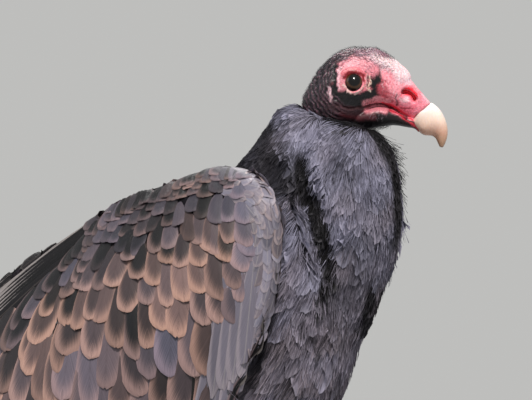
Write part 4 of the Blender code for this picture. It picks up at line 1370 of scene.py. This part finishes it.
def covert_grid(draw):
    """Place, way, depth below the rim, and the two pitches of each covert, in the wing's side view."""
    line = along_line(np.hstack([RIM, RIM_WAYS]), 200)
    rim, ways = line[:, :2], unit(line[:, 2:])
    found = []
    depths = np.concatenate([[0], np.cumsum(ROW_STEPS)])
    for number, (depth, width) in enumerate(zip(depths, ROW_WIDTHS)):
        row = np.hstack([rim + ways * depth, ways])
        reach = np.concatenate([[0], np.cumsum(np.linalg.norm(np.diff(row[:, :2], axis=0), axis=1))])
        spots = np.arange(0.5 * width * (number % 2), reach[-1], width)
        spots = spots + draw.normal(0, 0.15 * width, len(spots))
        step = ROW_STEPS[min(number, len(ROW_STEPS) - 1)]
        for spot in spots:
            x, z, dx, dz = (np.interp(spot, reach, column) for column in row.T)
            slip = draw.normal(0, 0.18 * step)
            found.append((x + dx * slip, z + dz * slip, dx, dz, depth, width, step))
    return np.array(found)


def on_face(tree, side, x, z):
    """Where a level line from the side meets the wing, or the nearest place if it passes over it."""
    hit = tree.ray_cast(Vector((x, side * 0.15, z)), Vector((0, -side, 0)))[0]
    return hit if hit is not None else tree.find_nearest(Vector((x, side * 0.05, z)))[0]


def covert_roots(tree, side, draw):
    """Roots, ways and grid rows of the coverts on the outer face, and on over the wing's top."""
    grid = covert_grid(draw)
    x, z = grid[:, 0], grid[:, 1]
    tertials = (x < -24) & (z > 324 + 0.88 * (x + 16))
    front = x > np.interp(z, (200, 262, 300, 340, 366), (86, 100, 121, 124, 112))
    grid = grid[~tertials & ~front & (x > -118 + 0.4 * (z - 190))]
    roots = np.array([on_face(tree, side, x * MM, z * MM) for x, z in grid[:, :2]])
    ways = columns(len(grid), grid[:, 2], 0.8 * side, grid[:, 3])
    first = grid[:, 4] == 0
    over = follow(tree, roots[first], -ways[first], 32 * MM, 4)[0][1:]
    return (np.concatenate([roots, over.reshape(-1, 3)]),
            *(np.concatenate([rows, np.tile(rows[first], (4, 1))]) for rows in (ways, grid)))


def wing_coverts(node, side):
    """One wing's coverts, over its outer face and its top."""
    draw = np.random.default_rng(41)
    roots, ways, grid = covert_roots(WING_TREES[node], side, draw)
    count = len(roots)
    width, step = grid[:, 5:].T * MM
    spine = follow(WING_TREES[node], roots, ways, step * draw.uniform(1.9, 2.6, count), 12,
                   draw.normal(0, 0.11, count))
    tint = wing_tint(spine[0][6], draw, (0.14, 0.12, 0.15))
    over = 2.4 * MM * smooth_step(50, 0, grid[:, 0])  # at the rear they lie on the flight feathers
    return lay(f"coverts_{node}", brown, 6, spine, width * draw.uniform(0.76, 0.92, count),
               (0.1 * MM + over, 1.2 * MM + 0.07 * step + over), tint, 45, COVERT_OUTLINE, camber=0.2,
               ragged=0.006, blunt=0.0, bunch=1.7, roll=-0.11 * side * draw.uniform(0.3, 1.7, count))


def bend_feathers(node, side):
    """Rows of small grey scale-like feathers that run down along the wing's front edge."""
    draw = np.random.default_rng(47)
    tree = WING_TREES[node]
    line = along_line(BEND, 22)
    run = unit(np.gradient(line, axis=0))
    roots, ways = [], []
    for inset in (22, 16, 10, 4, -4):
        spots = line + draw.normal(0, 0.8, line.shape) + run * draw.uniform(0, 6)
        for (x, z), (dx, dz) in zip(spots, run):
            if inset > 0:
                roots.append(on_face(tree, side, (x + inset * dz) * MM, (z - inset * dx) * MM))
            else:
                roots.append(tree.find_nearest(Vector(((x + 8) * MM, side * 0.07, z * MM)))[0])
            ways.append((dx - 0.012 * inset, 0.3 * side, dz))
    count = len(roots)
    spine = follow(tree, np.array(roots), np.array(ways), draw.uniform(17, 24, count) * MM, 8,
                   draw.normal(0, 0.05, count))
    tint = columns(count, draw.uniform(0.3, 0.9, count), draw.uniform(0, 0.8, count), draw.random(count),
                   draw.uniform(0.2, 0.8, count))
    return lay(f"bend_{node}", slate, 4, spine, draw.uniform(4.2, 5.4, count) * MM, (0.2 * MM, 1.3 * MM),
               tint, 48, COVERT_OUTLINE, camber=0.2, ragged=0.01, blunt=0.0, bunch=1.6)


INNER_LIE = guided((
    ((130, 60, 340), (-0.1, 0, -1)), ((110, 50, 250), (-0.3, 0, -0.95)), ((20, 40, 250), (-0.7, 0, -0.7)),
    ((-100, 40, 180), (-0.75, 0, -0.65)), ((-190, 50, 80), (-0.8, 0, -0.6)),
    ((60, 40, 360), (-0.9, 0, -0.4)),
))


def inner_feathers(node, side):
    """Dark feathers over the wing's inner face, its front edge and its top."""
    draw = np.random.default_rng(51)

    def inner(rows, out):
        """The inner face and the front edge, but not the top."""
        x, _, z = rows.T
        front = (out[:, 0] > 0.55) & (x > 60 * MM) & (z < 285 * MM)
        top = (z > np.interp(x, *np.array(RIM[::-1]).T * MM) - 9 * MM) & (x > -10 * MM)
        return ((out[:, 1] * side < 0.15) | front) & ~top

    roots = scatter(wings[node], 10 * MM, inner, seed=52)
    count = len(roots)
    spine = follow(WING_TREES[node], roots, INNER_LIE, draw.uniform(17, 23, count) * MM, 8,
                   draw.normal(0, 0.08, count))
    tint = columns(count, draw.uniform(0.05, 0.5, count), draw.uniform(0, 0.6, count), draw.random(count),
                   draw.uniform(0, 0.3, count))
    return lay(f"inner_{node}", black, 4, spine, draw.uniform(5.6, 6.8, count) * MM, (0.1 * MM, 1.0 * MM),
               tint, 53, COVERT_OUTLINE, camber=0.1, ragged=0.03, blunt=0.1, bunch=1.6)


for node, side in zip(WING_NODES, (-1, 1)):
    print(node, "has", wing_coverts(node, side), "coverts,", bend_feathers(node, side), "at the bend and",
          inner_feathers(node, side), "inside")

# %% [markdown]
# ## Flight feathers
# Primaries and secondaries are long stiff vanes that stack under the coverts like a closed fan, each
# with a pale shaft. A vane runs straight over the wing from its root to its tip, so two lines in the
# wing's side view give the whole fan: where the roots stand and where the tips end.

# %% Flight feathers


def fan(tree, side, root_line, tip_line, count):
    """Spines of long feathers from a line of roots to a line of tips, both (x, z), on one face."""
    starts, ends = (along_line(line, count) * MM for line in (root_line, tip_line))
    roots = np.array([on_face(tree, side, x, z) for x, z in starts])
    run = ends - starts
    length = np.linalg.norm(run, axis=1)
    ways = columns(count, run[:, 0], 0, run[:, 1]) / length[:, None]
    return follow(tree, roots, ways, length * 1.02, 18)


FLIGHT_OUTLINE = ((0, 0.5), (0.2, 0.9), (0.8, 1.0), (0.93, 0.85), (1, 0.4))
FANS = (  # name, root line, tip line, feathers, half-width, (root, tip) heights, lean, shade, wear, finish
    ("flight", ((-20, 300), (40, 230), (78, 168)), ((-150, 236), (-180, 160), (-220, 72), (-206, 28)),
     22, 13.0, (0.3, 1.6), -0.10, 0.25, 0.35, black),
    ("tertials_rear", ((-84, 292), (-92, 262)), ((-170, 214), (-184, 170)),
     6, 8.0, (0.8, 2.4), -0.2, 0.15, 0.62, black),
    ("tertials_top", ((0, 342), (-20, 330)), ((-128, 262), (-134, 246)),
     3, 6.0, (1.0, 4.0), -0.2, 0.0, 0.62, black),
    ("tertials_front", ((-2, 340), (-20, 316)), ((-104, 274), (-112, 244)),
     6, 6.5, (1.0, 3.4), -0.22, 0.04, 0.62, black),
    ("greater_long", ((124, 300), (104, 286)), ((100, 176), (78, 168)),
     6, 6.0, (0.5, 2.0), -0.12, 0.5, 0.62, slate),
    ("greater", ((122, 306), (106, 300)), ((114, 226), (94, 214)),
     4, 6.5, (0.9, 2.8), -0.12, 0.6, 0.62, slate),
    ("leading", ((141, 292), (126, 262)), ((112, 214), (94, 170)),
     9, 2.6, (0.4, 3.4), -0.1, 0.0, 0.62, brown),
)


def flight_feathers(node, side):
    """One wing's fans of long feathers."""
    draw = np.random.default_rng(61)
    for label, roots, tips, count, width, heights, lean, shade, wear, finish in FANS:
        spine = fan(WING_TREES[node], side, roots, tips, count)
        tint = columns(count, shade + draw.normal(0, 0.06, count), 0.3, draw.random(count), wear)
        lay(f"{label}_{node}", finish, 4, spine, width * MM, np.array(heights) * MM, tint, 62,
            FLIGHT_OUTLINE, camber=0.08, roll=lean * side, thick=0.4 * MM, ragged=0.015)


for node, side in zip(WING_NODES, (-1, 1)):
    flight_feathers(node, side)
print("flight feathers on each wing:", sum(row[3] for row in FANS))

# %% [markdown]
# ## Tail
# Twelve tail feathers lie in a closed fan over each face of the tail's solid, the middle pair on top.

# %% Tail feathers
TAIL_TREE = surface_tree([tail])


def tail_feathers(face, name):
    """The tail's twelve vanes on one face: 1 is the upper face and -1 the lower."""
    low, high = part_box("tail")
    order = np.array([x for pair in range(6) for x in (-(5.5 - pair), 5.5 - pair)]) / 5.5
    roots = columns(12, high.x - 12 * MM, order * 12 * MM, high.z + (10 * face - 14) * MM)
    tips = columns(12, low.x + (6 + 10 * np.abs(order)) * MM, order * (high.y - 10 * MM), low.z + 6 * MM)
    length = np.linalg.norm(tips - roots, axis=1)
    spine = follow(TAIL_TREE, roots, (tips - roots) / length[:, None], length * (1 + 0.02 * face), 18)
    lay(name, black, 4, spine, 12.5 * MM, (0.2 * MM, np.linspace(0.3, 2.6, 12) * MM),
        columns(12, 0.2, 0.5, np.linspace(0, 1, 12)), 71, FLIGHT_OUTLINE, camber=0.05, thick=0.4 * MM,
        ragged=0.02)


tail_feathers(1, "tail_upper")
tail_feathers(-1, "tail_lower")
print("twelve tail feathers on each face")

# %% [markdown]
# ## The dressed bird's box
# The dressed bird's box is printed beside the box of its solids, which it should stay close to.

# %% The dressed bird's box
low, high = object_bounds()
print("CAD box", [round(c / MM, 1) for c in CAD_BOX[1] - CAD_BOX[0]], "mm, visual",
      [round(c / MM, 1) for c in high - low], "mm")
